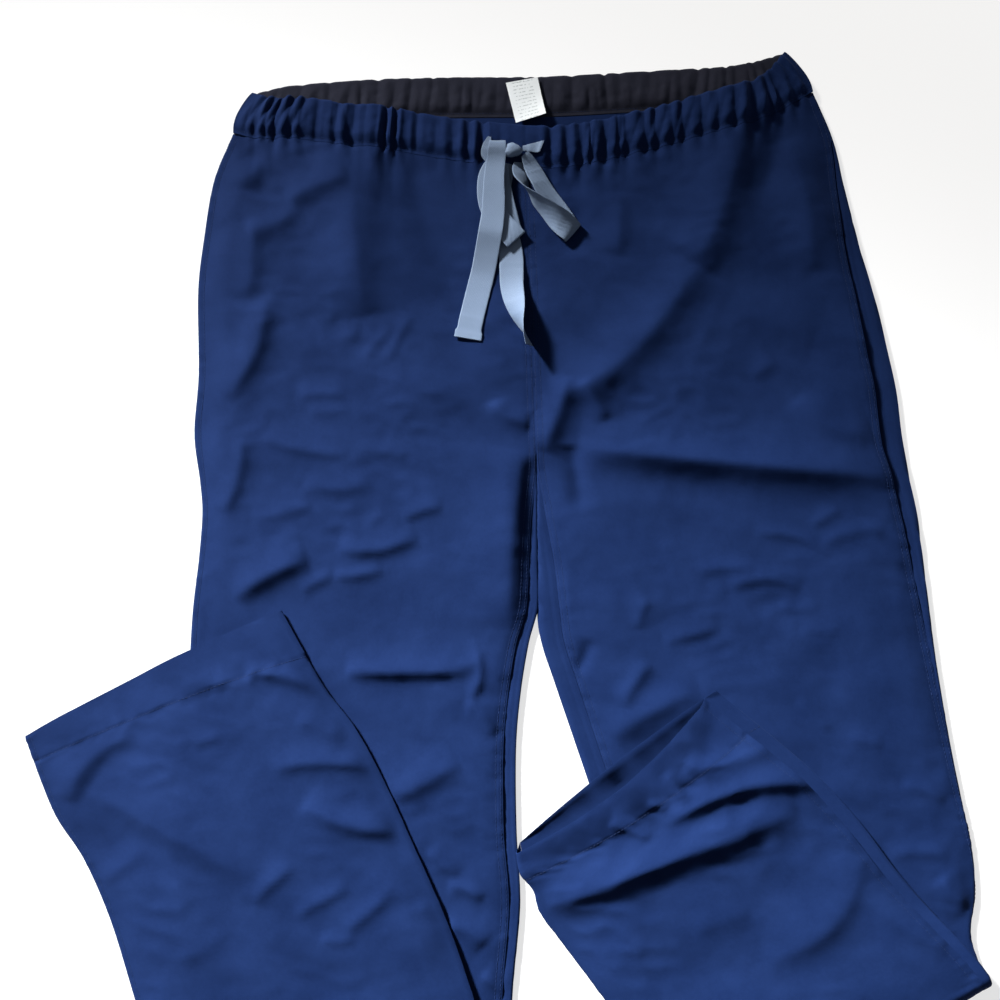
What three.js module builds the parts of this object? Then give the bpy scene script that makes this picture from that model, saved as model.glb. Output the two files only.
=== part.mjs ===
// Scrub trousers laid flat on a table, with both lower legs turned up over the front.
// Millimetres. X runs to the viewer's right, Y from the hems to the waist, Z up from the table.
// Left and right in piece names are the wearer's, so the wearer's right leg has negative X.
import * as THREE from 'three';

// Driving dimensions
const CLOTH = 1.2; // wall of one layer of cloth
const SEAM_GAP = 0.3; // space left between two pieces where they are sewn together
const EDGE_RADIUS = 2.0; // outer radius of a leg's flattened edge
const FOLD_RADIUS = 7.0; // middle radius of the soft fold where a lower leg turns up
const TURNED_LIFT = 7.4; // height at which a turned-up leg lies on the thigh
const OVERHANG_FALL = 62; // distance over which a turned-up leg falls from the thigh to the table
const SETTLE_LENGTH = 95; // distance from the fold in which a turned-up leg settles on the thigh
const EDGE_RAMP = 26; // width in which a puffed panel falls to the leg's edge
const BAND_HEIGHT = 36; // waistband, seam to top edge
const BAND_CLOTH = 2.0; // folded casing cloth of a waistband
const BAND_INSET = 0.9; // how far a waistband's ends lie inside the panels' side edges
const BAND_BULGE = 4.5; // how far a waistband's folded ends round out
const BACK_BAND_TOP = 3.8; // highest point of the back band's waves
const FRONT_GATHERS = 27; // gathers in the front waistband
const BACK_GATHERS = 29; // gathers in the back waistband
const TAPE_WIDTH = 20; // flat twill tape of the drawstring
const TAPE_THICK = 1.2;
const TAPE_STEPS = 2; // sections of a tape for each row of its table
const LABEL_THICK = 0.8;
const LABEL_CELLS = { rows: 5, columns: 4 };
const KNOT = { x: -19, y: 275.5, radiusX: 7.5, radiusY: 6, radiusZ: 4.6, rings: 7, sides: 14 };

// The drawing is set out from the crotch point, and the part's origin is under the middle of the
// garment's box, so every piece moves by this much.
const CENTRE = { x: 32.12, y: 71.12 };

// Grid of one leg: rows along it and columns across it
const GRID = { bodyRows: 12, thighRows: 13, foldRows: 8, turnedRows: 12, edgeCells: 3, flatCells: 8 };
const CROTCH_STEP = 6; // length over which the open body closes into a tube
const CENTRE_LEAN = -0.0302; // sideways step of the centre front and back seams for each millimetre up
const WAIST_FADE = 90; // depth below the waist in which its curve fades into straight sections

const NAVY = 0x24407c;
const NAVY_INSIDE = 0x1b1f33;
const TAPE_GREY = 0x8a9cb8;
const LABEL_WHITE = 0xe8eaee;

// Small helpers
const clamp = (value, low, high) => Math.min(high, Math.max(low, value));
const mix = (a, b, t) => a + (b - a) * t;

function smooth(t) {
  const c = clamp(t, 0, 1);
  return c * c * (3 - 2 * c);
}

// Smooth curve through a table's column, at a row number that may fall between rows.
function columnAt(rows, key, place) {
  const last = rows.length - 1;
  const i = clamp(Math.floor(place), 0, last - 1);
  const t = place - i;
  const value = (k) => rows[clamp(k, 0, last)][key];
  const before = i > 0 ? value(i - 1) : 2 * value(0) - value(1);
  const after = i + 2 <= last ? value(i + 2) : 2 * value(last) - value(last - 1);
  const a = value(i);
  const b = value(i + 1);
  const slopeA = (b - before) / 2;
  const slopeB = (after - a) / 2;
  const t2 = t * t;
  const t3 = t2 * t;
  return (2 * t3 - 3 * t2 + 1) * a + (t3 - 2 * t2 + t) * slopeA + (3 * t2 - 2 * t3) * b + (t3 - t2) * slopeB;
}

// Height of a line given by a table with an x column that rises, at one x.
function lineAt(rows, key, x) {
  let i = 0;
  while (i < rows.length - 2 && x > rows[i + 1].x) i += 1;
  return columnAt(rows, key, i + clamp((x - rows[i].x) / (rows[i + 1].x - rows[i].x), 0, 1));
}

// Waist seams, viewer's left to right. y is the seam, lean is how far the band's top edge leans in x.
const FRONT_WAIST = [
  { x: -257, y: 298, lean: 15 },
  { x: -231, y: 291, lean: 9 },
  { x: -200, y: 290, lean: 4 },
  { x: -160, y: 284, lean: 3 },
  { x: -120, y: 281, lean: 2 },
  { x: -80, y: 274, lean: 1 },
  { x: -30, y: 267, lean: 0 },
  { x: 14, y: 264, lean: 0 },
  { x: 50, y: 269, lean: 0 },
  { x: 100, y: 281, lean: 0 },
  { x: 138, y: 292, lean: 0 },
  { x: 180, y: 303, lean: 0 },
  { x: 207, y: 317, lean: -8 },
  { x: 239, y: 337, lean: -23 },
];
const BACK_WAIST = [
  { x: -257, y: 298, lean: 15 },
  { x: -215, y: 306, lean: 4 },
  { x: -143, y: 312, lean: 2 },
  { x: -80, y: 314, lean: 0 },
  { x: 10, y: 315, lean: 0 },
  { x: 98, y: 320, lean: 0 },
  { x: 161, y: 324, lean: 0 },
  { x: 190, y: 328, lean: -6 },
  { x: 239, y: 337, lean: -23 },
];

// One row for each section of a leg. (ox, oy) is the outer edge and (ix, iy) the inner edge. Above the
// crotch iy is the centre seam's place, and its ix follows from the seam's lean. rise is how far the upper panel stands up, backRise how much higher
// the back panel reaches at the centre seam. side and inseam say how far the seams lie inside the
// leg's edge: above 0 on the front, below 0 on the back. rest is the height on which a turned-up
// leg's overhang lies: 0 on the table, more on the other leg's edge. bow is the curve of the hem.
const RIGHT_LEG = {
  body: [
    { ox: -257, oy: 298, iy: 265, rise: 4.2, backRise: 50, side: 0, inseam: 0 },
    { ox: -271, oy: 255, iy: 225, rise: 4.4, backRise: 38, side: 0, inseam: 0 },
    { ox: -277, oy: 202, iy: 178, rise: 4.3, backRise: 28, side: 0, inseam: 0 },
    { ox: -279.5, oy: 155, iy: 134, rise: 4.1, backRise: 18, side: 0, inseam: 0 },
    { ox: -275.5, oy: 85, iy: 70, rise: 3.9, backRise: 7, side: 0, inseam: 0 },
    { ox: -276.5, oy: 35, iy: 29, rise: 3.7, backRise: 2, side: 0, inseam: 0 },
    { ox: -270, oy: -4, iy: 0, rise: 3.6, backRise: 0, side: 0, inseam: 2 },
  ],
  thigh: [
    { ox: -270, oy: -4, ix: -0.3, iy: 0, rise: 3.6, side: 0, inseam: 2 },
    { ox: -266.8, oy: -30, ix: -0.3, iy: -36, rise: 3.4, side: 0, inseam: 6 },
    { ox: -267.6, oy: -66, ix: -0.3, iy: -72, rise: 3.2, side: 0, inseam: 8 },
    { ox: -270.2, oy: -104, ix: -0.5, iy: -108, rise: 2.8, side: 0, inseam: 10 },
    { ox: -270.8, oy: -136, ix: -7, iy: -134, rise: 2.5, side: 0, inseam: 11 },
    { ox: -270, oy: -175, ix: -13.4, iy: -172, rise: 2.4, side: 0, inseam: 11 },
    { ox: -269, oy: -225, ix: -17.2, iy: -215, rise: 2.4, side: 0, inseam: 11 },
    { ox: -266, oy: -290, ix: -17, iy: -275, rise: 2.4, side: 0, inseam: 11 },
    { ox: -262, oy: -355, ix: -14.2, iy: -328, rise: 2.4, side: 0, inseam: 10 },
    { ox: -254, oy: -432, ix: -20, iy: -388, rise: 1.6, side: 0, inseam: 9 },
    { ox: -246, oy: -508, ix: -24, iy: -460, rise: 0.6, side: 0, inseam: 8 },
  ],
  turned: [
    { ox: -246, oy: -508, ix: -24, iy: -460, rise: 0.6, side: 0, inseam: 8, rest: 0, bow: 0 },
    { ox: -275, oy: -452, ix: -44, iy: -406, rise: 3.0, side: 0, inseam: 8, rest: 0, bow: 0 },
    { ox: -298, oy: -395, ix: -67, iy: -344, rise: 3.6, side: 0, inseam: 8, rest: 0, bow: 0 },
    { ox: -320, oy: -340, ix: -94, iy: -286, rise: 3.6, side: 0, inseam: 8, rest: 0, bow: 0 },
    { ox: -342.5, oy: -297, ix: -119, iy: -235, rise: 3.4, side: 0, inseam: 8, rest: 0, bow: 1 },
    { ox: -365, oy: -267, ix: -141.5, iy: -197, rise: 3.4, side: 0, inseam: 8, rest: 0, bow: 2 },
    { ox: -380, oy: -238, ix: -166, iy: -166, rise: 3.2, side: 0, inseam: 8, rest: 0, bow: 3 },
    { ox: -394, oy: -206, ix: -199.5, iy: -110, rise: 2.1, side: 0, inseam: 8, rest: 0, bow: 3.5 },
  ],
  overhang: 'outer',
  mouth: 0,
};
const LEFT_LEG = {
  body: [
    { ox: 239, oy: 337, iy: 265, rise: 4.2, backRise: 50, side: 0, inseam: 0 },
    { ox: 253.5, oy: 293, iy: 229, rise: 4.4, backRise: 40, side: 3, inseam: 0 },
    { ox: 261.5, oy: 244, iy: 191, rise: 4.4, backRise: 31, side: 8, inseam: 0 },
    { ox: 271.5, oy: 190, iy: 150, rise: 4.2, backRise: 22, side: 14, inseam: 0 },
    { ox: 280.5, oy: 150, iy: 120, rise: 4.1, backRise: 15, side: 17, inseam: 0 },
    { ox: 287, oy: 110, iy: 88, rise: 4.0, backRise: 10, side: 19, inseam: 0 },
    { ox: 292.8, oy: 70, iy: 56, rise: 3.9, backRise: 5, side: 19, inseam: 0 },
    { ox: 295, oy: 30, iy: 25, rise: 3.7, backRise: 2, side: 19, inseam: 0 },
    { ox: 299, oy: -4, iy: 0, rise: 3.6, backRise: 0, side: 17, inseam: 2 },
  ],
  thigh: [
    { ox: 299, oy: -4, ix: 0.3, iy: 0, rise: 3.6, side: 17, inseam: 2 },
    { ox: 303.2, oy: -38, ix: 0.3, iy: -36, rise: 3.5, side: 15, inseam: 8 },
    { ox: 305, oy: -72, ix: 0.3, iy: -72, rise: 3.4, side: 12, inseam: 14 },
    { ox: 307, oy: -108, ix: 0.3, iy: -110, rise: 3.2, side: 9, inseam: 18 },
    { ox: 308.8, oy: -140, ix: 2.4, iy: -134, rise: 3.0, side: 6, inseam: 19 },
    { ox: 312, oy: -178, ix: 12, iy: -164, rise: 2.9, side: 4, inseam: 19 },
    { ox: 316.4, oy: -218, ix: 26.7, iy: -207, rise: 2.8, side: 2, inseam: 18 },
    { ox: 321, oy: -252, ix: 41, iy: -250, rise: 2.6, side: 1, inseam: 17 },
    { ox: 326, oy: -288, ix: 60, iy: -312, rise: 2.3, side: -2, inseam: 15 },
    { ox: 326, oy: -322, ix: 75, iy: -362, rise: 2.0, side: -5, inseam: 12 },
    { ox: 320.5, oy: -350, ix: 91, iy: -418, rise: 1.4, side: -7, inseam: 10 },
    { ox: 326.5, oy: -377, ix: 110, iy: -482, rise: 0.6, side: -9, inseam: 8 },
  ],
  turned: [
    { ox: 326.5, oy: -377, ix: 110, iy: -482, rise: 0.6, side: -9, inseam: 8, rest: 0, bow: 0 },
    { ox: 314, oy: -360, ix: 90, iy: -452, rise: 2.6, side: -10, inseam: 8, rest: 0, bow: 0 },
    { ox: 290, oy: -333, ix: 64, iy: -418, rise: 3.4, side: -11, inseam: 8, rest: 0, bow: 0 },
    { ox: 265, oy: -303, ix: 41, iy: -388, rise: 4.0, side: -12, inseam: 8, rest: 0, bow: 0 },
    { ox: 240, oy: -268, ix: 16, iy: -356, rise: 4.2, side: -13, inseam: 8, rest: 0, bow: 0 },
    { ox: 212, oy: -236, ix: 0, iy: -335, rise: 4.2, side: -13, inseam: 8, rest: 1, bow: 0 },
    { ox: 184, oy: -211, ix: -6, iy: -318, rise: 3.8, side: -13, inseam: 8, rest: 3, bow: 1 },
    { ox: 160, oy: -191, ix: -16, iy: -305, rise: 3.0, side: -13, inseam: 8, rest: 5, bow: 2 },
    { ox: 136, oy: -171.5, ix: -20, iy: -289, rise: 2.1, side: -12, inseam: 8, rest: 5.4, bow: 4 },
  ],
  overhang: 'inner',
  mouth: 17,
};

for (const row of [...RIGHT_LEG.body, ...LEFT_LEG.body]) row.ix = CENTRE_LEAN * row.iy;

// The largest folds. A fold runs from (x0, y0) past (x1, y1) to (x2, y2), and rises or sinks by rise.
const FRONT_FOLDS = [
  { x0: -146, y0: 282, x1: -112, y1: 244, x2: -88, y2: 178, width: 26, rise: -3.4 },
  { x0: -196, y0: 284, x1: -172, y1: 235, x2: -163, y2: 172, width: 24, rise: 2.6 },
  { x0: -70, y0: 270, x1: -65, y1: 226, x2: -80, y2: 172, width: 28, rise: 2.4 },
  { x0: 172, y0: 300, x1: 128, y1: 199, x2: 42, y2: 66, width: 24, rise: 4.4 },
  { x0: 196, y0: 312, x1: 152, y1: 190, x2: 62, y2: 46, width: 20, rise: -3.6 },
  { x0: 218, y0: 322, x1: 222, y1: 250, x2: 210, y2: 148, width: 26, rise: 2.0 },
  { x0: 44, y0: 27, x1: 162, y1: 16, x2: 278, y2: 4, width: 22, rise: 2.6 },
  { x0: 20, y0: 0, x1: 129, y1: -16, x2: 274, y2: -16, width: 20, rise: -3.0 },
  { x0: -236, y0: -101, x1: -171, y1: -78, x2: -130, y2: -86, width: 22, rise: -2.2 },
  { x0: -226, y0: 28, x1: -181, y1: 11, x2: -149, y2: 7, width: 22, rise: -2.0 },
  { x0: -225, y0: 146, x1: -220, y1: 103, x2: -237, y2: 44, width: 20, rise: -1.8 },
];
const TURNED_FOLDS = [
  { x0: -352, y0: -240, x1: -284, y1: -282, x2: -178, y2: -316, width: 22, rise: -2.4 },
  { x0: -340, y0: -222, x1: -276, y1: -258, x2: -200, y2: -284, width: 24, rise: 1.6 },
  { x0: -179, y0: -268, x1: -145, y1: -290, x2: -110, y2: -288, width: 18, rise: -1.8 },
  { x0: -221, y0: -160, x1: -190, y1: -172, x2: -158, y2: -182, width: 20, rise: -1.6 },
  { x0: 8, y0: -338, x1: 93, y1: -306, x2: 188, y2: -260, width: 22, rise: -3.4 },
  { x0: 20, y0: -322, x1: 98, y1: -284, x2: 176, y2: -252, width: 24, rise: 2.4 },
  { x0: 240, y0: -289, x1: 198, y1: -346, x2: 175, y2: -368, width: 20, rise: -2.0 },
];

// The drawstring's stretches, each from the knot or a buttonhole on. x and y give the middle of the
// tape, lift its height over the cloth below, heading the direction of its width in plan and slope how
// steeply its width stands, in degrees. wide is the share of its width that is spread out.
const LEAD_RIGHT = [
  { x: -38.4, y: 289.5, lift: 0, heading: -20, slope: 0, wide: 0.14 },
  { x: -40.6, y: 282.0, lift: 0, heading: -22, slope: 0, wide: 0.38 },
  { x: -41.2, y: 274.5, lift: 0, heading: 12, slope: 0, wide: 0.42 },
  { x: -37.0, y: 270.5, lift: 0, heading: 70, slope: 0, wide: 0.34 },
  { x: -29.5, y: 271.6, lift: 0, heading: 95, slope: 0, wide: 0.26 },
];
const LEAD_LEFT = [
  { x: 5.6, y: 280.6, lift: 0, heading: 70, slope: 0, wide: 0.56 },
  { x: 0.6, y: 280.0, lift: 0, heading: 80, slope: 0, wide: 0.48 },
  { x: -5.2, y: 279.4, lift: 0.2, heading: 85, slope: 0, wide: 0.34 },
  { x: -10.6, y: 278.6, lift: 0.6, heading: 88, slope: 0, wide: 0.24 },
];
const LONG_END = [
  { x: -31.6, y: 278.4, lift: 3.0, heading: 0, slope: 0, wide: 0.5 },
  { x: -31.6, y: 283.0, lift: 4.4, heading: 0, slope: 0, wide: 0.62 },
  { x: -31.8, y: 281.4, lift: 7.6, heading: 0, slope: 0, wide: 0.7 },
  { x: -32.3, y: 272.0, lift: 8.0, heading: 0, slope: 0, wide: 0.76 },
  { x: -33.8, y: 260.0, lift: 8.2, heading: -3, slope: 0, wide: 0.82 },
  { x: -34.7, y: 247.0, lift: 8.2, heading: -3, slope: 0, wide: 0.88 },
  { x: -34.8, y: 233.0, lift: 8.2, heading: -2, slope: 0, wide: 0.94 },
  { x: -35.4, y: 219.0, lift: 8.4, heading: -5, slope: 0, wide: 0.97 },
  { x: -37.4, y: 204.0, lift: 8.0, heading: -9, slope: 0, wide: 1 },
  { x: -40.3, y: 188.0, lift: 3.8, heading: -11, slope: 0, wide: 1 },
  { x: -43.4, y: 172.0, lift: 0.6, heading: -12, slope: 0, wide: 1 },
  { x: -46.9, y: 157.0, lift: 0.2, heading: -13, slope: 0, wide: 1 },
  { x: -50.3, y: 142.0, lift: 0.2, heading: -13, slope: 0, wide: 1 },
  { x: -53.4, y: 127.5, lift: 0.2, heading: -12, slope: 0, wide: 1 },
  { x: -56.0, y: 112.5, lift: 0.2, heading: -10, slope: 0, wide: 1 },
];
const SHORT_END = [
  { x: -21.5, y: 267.0, lift: 0.2, heading: -12, slope: 0, wide: 0.35 },
  { x: -24.5, y: 258.0, lift: 0.2, heading: -20, slope: 0, wide: 0.6 },
  { x: -29.0, y: 246.0, lift: 0.2, heading: -16, slope: 0, wide: 0.9 },
  { x: -30.8, y: 232.0, lift: 0.2, heading: -2, slope: 0, wide: 1 },
  { x: -28.0, y: 216.0, lift: 0.2, heading: 12, slope: 0, wide: 1 },
  { x: -23.5, y: 201.0, lift: 0.2, heading: 12, slope: 0, wide: 1 },
  { x: -20.6, y: 187.0, lift: 0.3, heading: 4, slope: 0, wide: 1 },
  { x: -20.1, y: 173.0, lift: 0.4, heading: 0, slope: 4, wide: 1 },
  { x: -19.9, y: 159.0, lift: 0.5, heading: 2, slope: 12, wide: 0.98 },
  { x: -18.2, y: 146.0, lift: 0.5, heading: 8, slope: 26, wide: 0.95 },
  { x: -15.6, y: 134.0, lift: 0.5, heading: 12, slope: 48, wide: 0.9 },
  { x: -12.8, y: 124.0, lift: 0.5, heading: 20, slope: 74, wide: 0.85 },
  { x: -9.4, y: 114.0, lift: 0.5, heading: 24, slope: 100, wide: 0.8 },
  { x: -5.8, y: 104.5, lift: 0.5, heading: 22, slope: 116, wide: 0.76 },
];
const RIGHT_LOOP = [
  { x: -28.8, y: 273.6, lift: 4.6, heading: -38, slope: 0, wide: 0.35 },
  { x: -34.4, y: 265.5, lift: 5.2, heading: -28, slope: 0, wide: 0.7 },
  { x: -38.0, y: 254.0, lift: 5.4, heading: -10, slope: 0, wide: 0.95 },
  { x: -38.8, y: 240.0, lift: 5.4, heading: 0, slope: 0, wide: 1 },
  { x: -36.8, y: 227.0, lift: 5.4, heading: 20, slope: 0, wide: 1 },
  { x: -30.6, y: 214.5, lift: 5.4, heading: 38, slope: 0, wide: 1 },
  { x: -22.0, y: 204.0, lift: 5.3, heading: 43, slope: 0, wide: 1 },
  { x: -17.2, y: 198.8, lift: 4.6, heading: 43, slope: 0, wide: 1 },
  { x: -16.2, y: 197.8, lift: 3.6, heading: 43, slope: 0, wide: 1 },
  { x: -17.4, y: 199.4, lift: 2.7, heading: 42, slope: 0, wide: 1 },
  { x: -21.0, y: 206.0, lift: 2.3, heading: 34, slope: 0, wide: 1 },
  { x: -25.0, y: 220.0, lift: 2.2, heading: 14, slope: 3, wide: 1 },
  { x: -28.2, y: 236.0, lift: 2.2, heading: 8, slope: 4, wide: 0.95 },
  { x: -28.6, y: 252.0, lift: 2.2, heading: -6, slope: 2, wide: 0.75 },
  { x: -25.6, y: 266.5, lift: 2.4, heading: -14, slope: 0, wide: 0.35 },
];
const LEFT_LOOP = [
  { x: -9.2, y: 272.4, lift: 3.6, heading: 48, slope: -6, wide: 0.4 },
  { x: -5.4, y: 266.6, lift: 2.2, heading: 34, slope: -14, wide: 0.62 },
  { x: -0.6, y: 257.0, lift: 1.0, heading: 28, slope: -24, wide: 0.84 },
  { x: 4.6, y: 246.6, lift: 0.5, heading: 28, slope: -30, wide: 0.95 },
  { x: 10.4, y: 236.0, lift: 0.3, heading: 30, slope: -26, wide: 1 },
  { x: 17.2, y: 225.0, lift: 0.2, heading: 36, slope: -12, wide: 1 },
  { x: 24.4, y: 214.0, lift: 0.3, heading: 44, slope: -2, wide: 1 },
  { x: 28.8, y: 207.4, lift: 0.7, heading: 50, slope: 0, wide: 1 },
  { x: 31.2, y: 204.2, lift: 2.6, heading: 50, slope: 0, wide: 1 },
  { x: 28.6, y: 206.0, lift: 4.8, heading: 50, slope: 4, wide: 1 },
  { x: 22.4, y: 210.6, lift: 3.9, heading: 50, slope: 20, wide: 1 },
  { x: 15.0, y: 216.6, lift: 1.6, heading: 48, slope: 44, wide: 1 },
  { x: 7.4, y: 223.6, lift: 0.6, heading: 44, slope: 64, wide: 0.98 },
  { x: -0.6, y: 230.8, lift: 0.5, heading: 40, slope: 80, wide: 0.95 },
  { x: -7.0, y: 239.0, lift: 0.5, heading: 26, slope: 104, wide: 0.92 },
  { x: -11.6, y: 249.0, lift: 0.6, heading: 12, slope: 130, wide: 0.9 },
  { x: -13.8, y: 259.0, lift: 0.9, heading: 6, slope: 148, wide: 0.68 },
  { x: -14.6, y: 267.2, lift: 1.4, heading: 4, slope: 162, wide: 0.36 },
];

// Care label inside the back waistband: its corners, and how far each stands up from the band.
const LABEL_CORNERS = {
  topLeft: { x: -24.6, y: 344.0, curl: 0 },
  topRight: { x: 2.6, y: 349.2, curl: 0 },
  footLeft: { x: -16.2, y: 306.2, curl: 1.2 },
  footRight: { x: 9.4, y: 313.6, curl: 2.6 },
};

// Height of a set of folds at a place: each is a soft trough or ridge along a bent line that
// flattens out towards both ends.
function foldHeight(folds, x, y) {
  let height = 0;
  for (const fold of folds) {
    let nearest = Infinity;
    let along = 0;
    const steps = 12;
    for (let i = 0; i <= steps; i += 1) {
      const t = i / steps;
      const px = (1 - t) * (1 - t) * fold.x0 + 2 * t * (1 - t) * fold.x1 + t * t * fold.x2;
      const py = (1 - t) * (1 - t) * fold.y0 + 2 * t * (1 - t) * fold.y1 + t * t * fold.y2;
      const distance = Math.hypot(x - px, y - py);
      if (distance < nearest) {
        nearest = distance;
        along = t;
      }
    }
    const taper = Math.sqrt(Math.max(0, 1 - (2 * along - 1) ** 4));
    const across = nearest / (0.5 * fold.width);
    height += fold.rise * (0.25 + 0.75 * taper) * Math.exp(-across * across);
  }
  return height;
}

// A closed wall between an outer and an inner grid of points with the same rows and columns.
function wall(outer, inner) {
  const rows = outer.length;
  const columns = outer[0].length;
  const positions = [];
  for (const grid of [outer, inner]) {
    for (const row of grid) {
      for (const point of row) positions.push(point.x, point.y, point.z);
    }
  }
  const at = (side, i, j) => side * rows * columns + i * columns + j;
  const triangles = [];
  const quad = (a, b, c, d) => triangles.push(a, b, c, a, c, d);
  for (let i = 0; i < rows - 1; i += 1) {
    for (let j = 0; j < columns - 1; j += 1) {
      quad(at(0, i, j), at(0, i + 1, j), at(0, i + 1, j + 1), at(0, i, j + 1));
      quad(at(1, i, j), at(1, i, j + 1), at(1, i + 1, j + 1), at(1, i + 1, j));
    }
  }
  for (let i = 0; i < rows - 1; i += 1) {
    quad(at(0, i, 0), at(1, i, 0), at(1, i + 1, 0), at(0, i + 1, 0));
    quad(at(0, i, columns - 1), at(0, i + 1, columns - 1), at(1, i + 1, columns - 1), at(1, i, columns - 1));
  }
  for (let j = 0; j < columns - 1; j += 1) {
    quad(at(0, 0, j), at(0, 0, j + 1), at(1, 0, j + 1), at(1, 0, j));
    quad(at(0, rows - 1, j), at(1, rows - 1, j), at(1, rows - 1, j + 1), at(0, rows - 1, j + 1));
  }
  return closedGeometry(positions, triangles);
}

// A geometry whose triangles all face out, whichever way round they were given.
function closedGeometry(positions, triangles) {
  const corner = (index) => new THREE.Vector3().fromArray(positions, 3 * index);
  let volume = 0;
  for (let k = 0; k < triangles.length; k += 3) {
    const [a, b, c] = [triangles[k], triangles[k + 1], triangles[k + 2]].map(corner);
    volume += a.dot(b.cross(c));
  }
  if (volume < 0) triangles.reverse();
  const geometry = new THREE.BufferGeometry();
  geometry.setAttribute('position', new THREE.Float32BufferAttribute(positions, 3));
  geometry.setIndex(triangles);
  geometry.computeVertexNormals();
  return geometry;
}

// Row numbers that lie at even lengths along a table's middle line.
function evenPlaces(rows, count) {
  const steps = 24 * (rows.length - 1);
  const lengths = [0];
  let before = null;
  for (let i = 0; i <= steps; i += 1) {
    const place = (i * (rows.length - 1)) / steps;
    const x = (columnAt(rows, 'ox', place) + columnAt(rows, 'ix', place)) / 2;
    const y = (columnAt(rows, 'oy', place) + columnAt(rows, 'iy', place)) / 2;
    if (before) lengths.push(lengths[i - 1] + Math.hypot(x - before.x, y - before.y));
    before = { x, y };
  }
  const places = [];
  for (let k = 0; k <= count; k += 1) {
    const wanted = (lengths[steps] * k) / count;
    let i = 0;
    while (i < steps - 1 && lengths[i + 1] < wanted) i += 1;
    const part = clamp((wanted - lengths[i]) / (lengths[i + 1] - lengths[i]), 0, 1);
    places.push(((i + part) * (rows.length - 1)) / steps);
  }
  return { places, length: lengths[steps] };
}

// Stations along a leg: where each row of the grid lies, how far it has turned over, and how it is cut.
function stationsOf(leg) {
  const stations = [];
  const add = (rows, place, extra) => {
    const station = { turn: 0, settled: 0, open: false, topFade: 0, ...extra };
    for (const key of Object.keys(rows[0])) station[key] = columnAt(rows, key, place);
    station.width = Math.hypot(station.ix - station.ox, station.iy - station.oy);
    stations.push(station);
  };
  const body = evenPlaces(leg.body, GRID.bodyRows);
  body.places.forEach((place, i) => {
    const along = (body.length * i) / GRID.bodyRows;
    const last = i === GRID.bodyRows;
    const shift = last ? CROTCH_STEP / body.length * (leg.body.length - 1) : 0;
    add(leg.body, place - shift, { open: true, topFade: 1 - smooth(along / WAIST_FADE) });
  });
  for (const place of evenPlaces(leg.thigh, GRID.thighRows).places) add(leg.thigh, place, {});
  for (let i = 1; i < GRID.foldRows; i += 1) add(leg.turned, 0, { turn: (Math.PI * i) / GRID.foldRows });
  const turned = evenPlaces(leg.turned, GRID.turnedRows);
  turned.places.forEach((place, i) => {
    const along = (turned.length * i) / GRID.turnedRows;
    add(leg.turned, place, { turn: Math.PI, settled: smooth(along / SETTLE_LENGTH) });
  });
  return stations;
}

// Height of the support under a turned-up leg. It falls from the thigh to what lies beside it.
function supportHeight(leg, station, x, y) {
  const outer = leg.overhang === 'outer';
  const edgeX = outer ? 'ox' : 'ix';
  const edgeY = outer ? 'oy' : 'iy';
  const rows = leg.thigh;
  let i = 0;
  while (i < rows.length - 2 && y < rows[i + 1][edgeY]) i += 1;
  const t = clamp((y - rows[i][edgeY]) / (rows[i + 1][edgeY] - rows[i][edgeY]), 0, 1);
  const beyond = mix(rows[i][edgeX], rows[i + 1][edgeX], t) - x;
  return mix(TURNED_LIFT, station.rest, smooth(beyond / OVERHANG_FALL));
}

// A place in a leg. across is the distance from the outer edge, height is measured in the flat tube,
// where the back panel's outside is at 0 and the front panel's flat outside at twice the edge radius.
function placeOn(leg, station, across, height, waistline, onBack) {
  const share = across / station.width;
  let x = mix(station.ox, station.ix, share);
  let y = mix(station.oy, station.iy, share);
  if (onBack && station.open) y += station.backRise * smooth((across - EDGE_RAMP) / (station.width - EDGE_RAMP));
  if (station.topFade > 0) {
    const top = leg.body[0];
    let chord = mix(top.oy, top.iy, share);
    const seamX = mix(top.ox, top.ix, share);
    if (onBack) chord += top.backRise * smooth((across - EDGE_RAMP) / (station.width - EDGE_RAMP));
    y += station.topFade * (lineAt(waistline, 'y', seamX) - SEAM_GAP - chord);
  }
  if (station.turn === 0) return new THREE.Vector3(x, y, height);
  const fold = leg.turned[0];
  const length = Math.hypot(fold.ix - fold.ox, fold.iy - fold.oy);
  const side = fold.ix > fold.ox ? 1 : -1;
  const normalX = (side * (fold.iy - fold.oy)) / length;
  const normalY = (-side * (fold.ix - fold.ox)) / length;
  const offset = height - EDGE_RADIUS;
  const bow = 4 * share * (1 - share) * station.bow;
  const reach = (FOLD_RADIUS - offset) * Math.sin(station.turn) - bow;
  x += normalX * reach;
  y += normalY * reach;
  let z = EDGE_RADIUS + FOLD_RADIUS - (FOLD_RADIUS - offset) * Math.cos(station.turn);
  if (station.settled > 0) z -= station.settled * (2 * FOLD_RADIUS - supportHeight(leg, station, x, y));
  return new THREE.Vector3(x, y, z);
}

// How far the panel that shows stands up above the flat tube at one place.
function panelRise(station, across, x, y) {
  const outerRamp = smooth(across / EDGE_RAMP);
  const innerRamp = station.open ? 1 : smooth((station.width - across) / EDGE_RAMP);
  const folds = station.turn > 0 ? TURNED_FOLDS : FRONT_FOLDS;
  const foldFade = station.turn > 0 && station.turn < Math.PI ? 0 : 1;
  return outerRamp * innerRamp * Math.max(0, station.rise + foldFade * foldHeight(folds, x, y));
}

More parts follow.
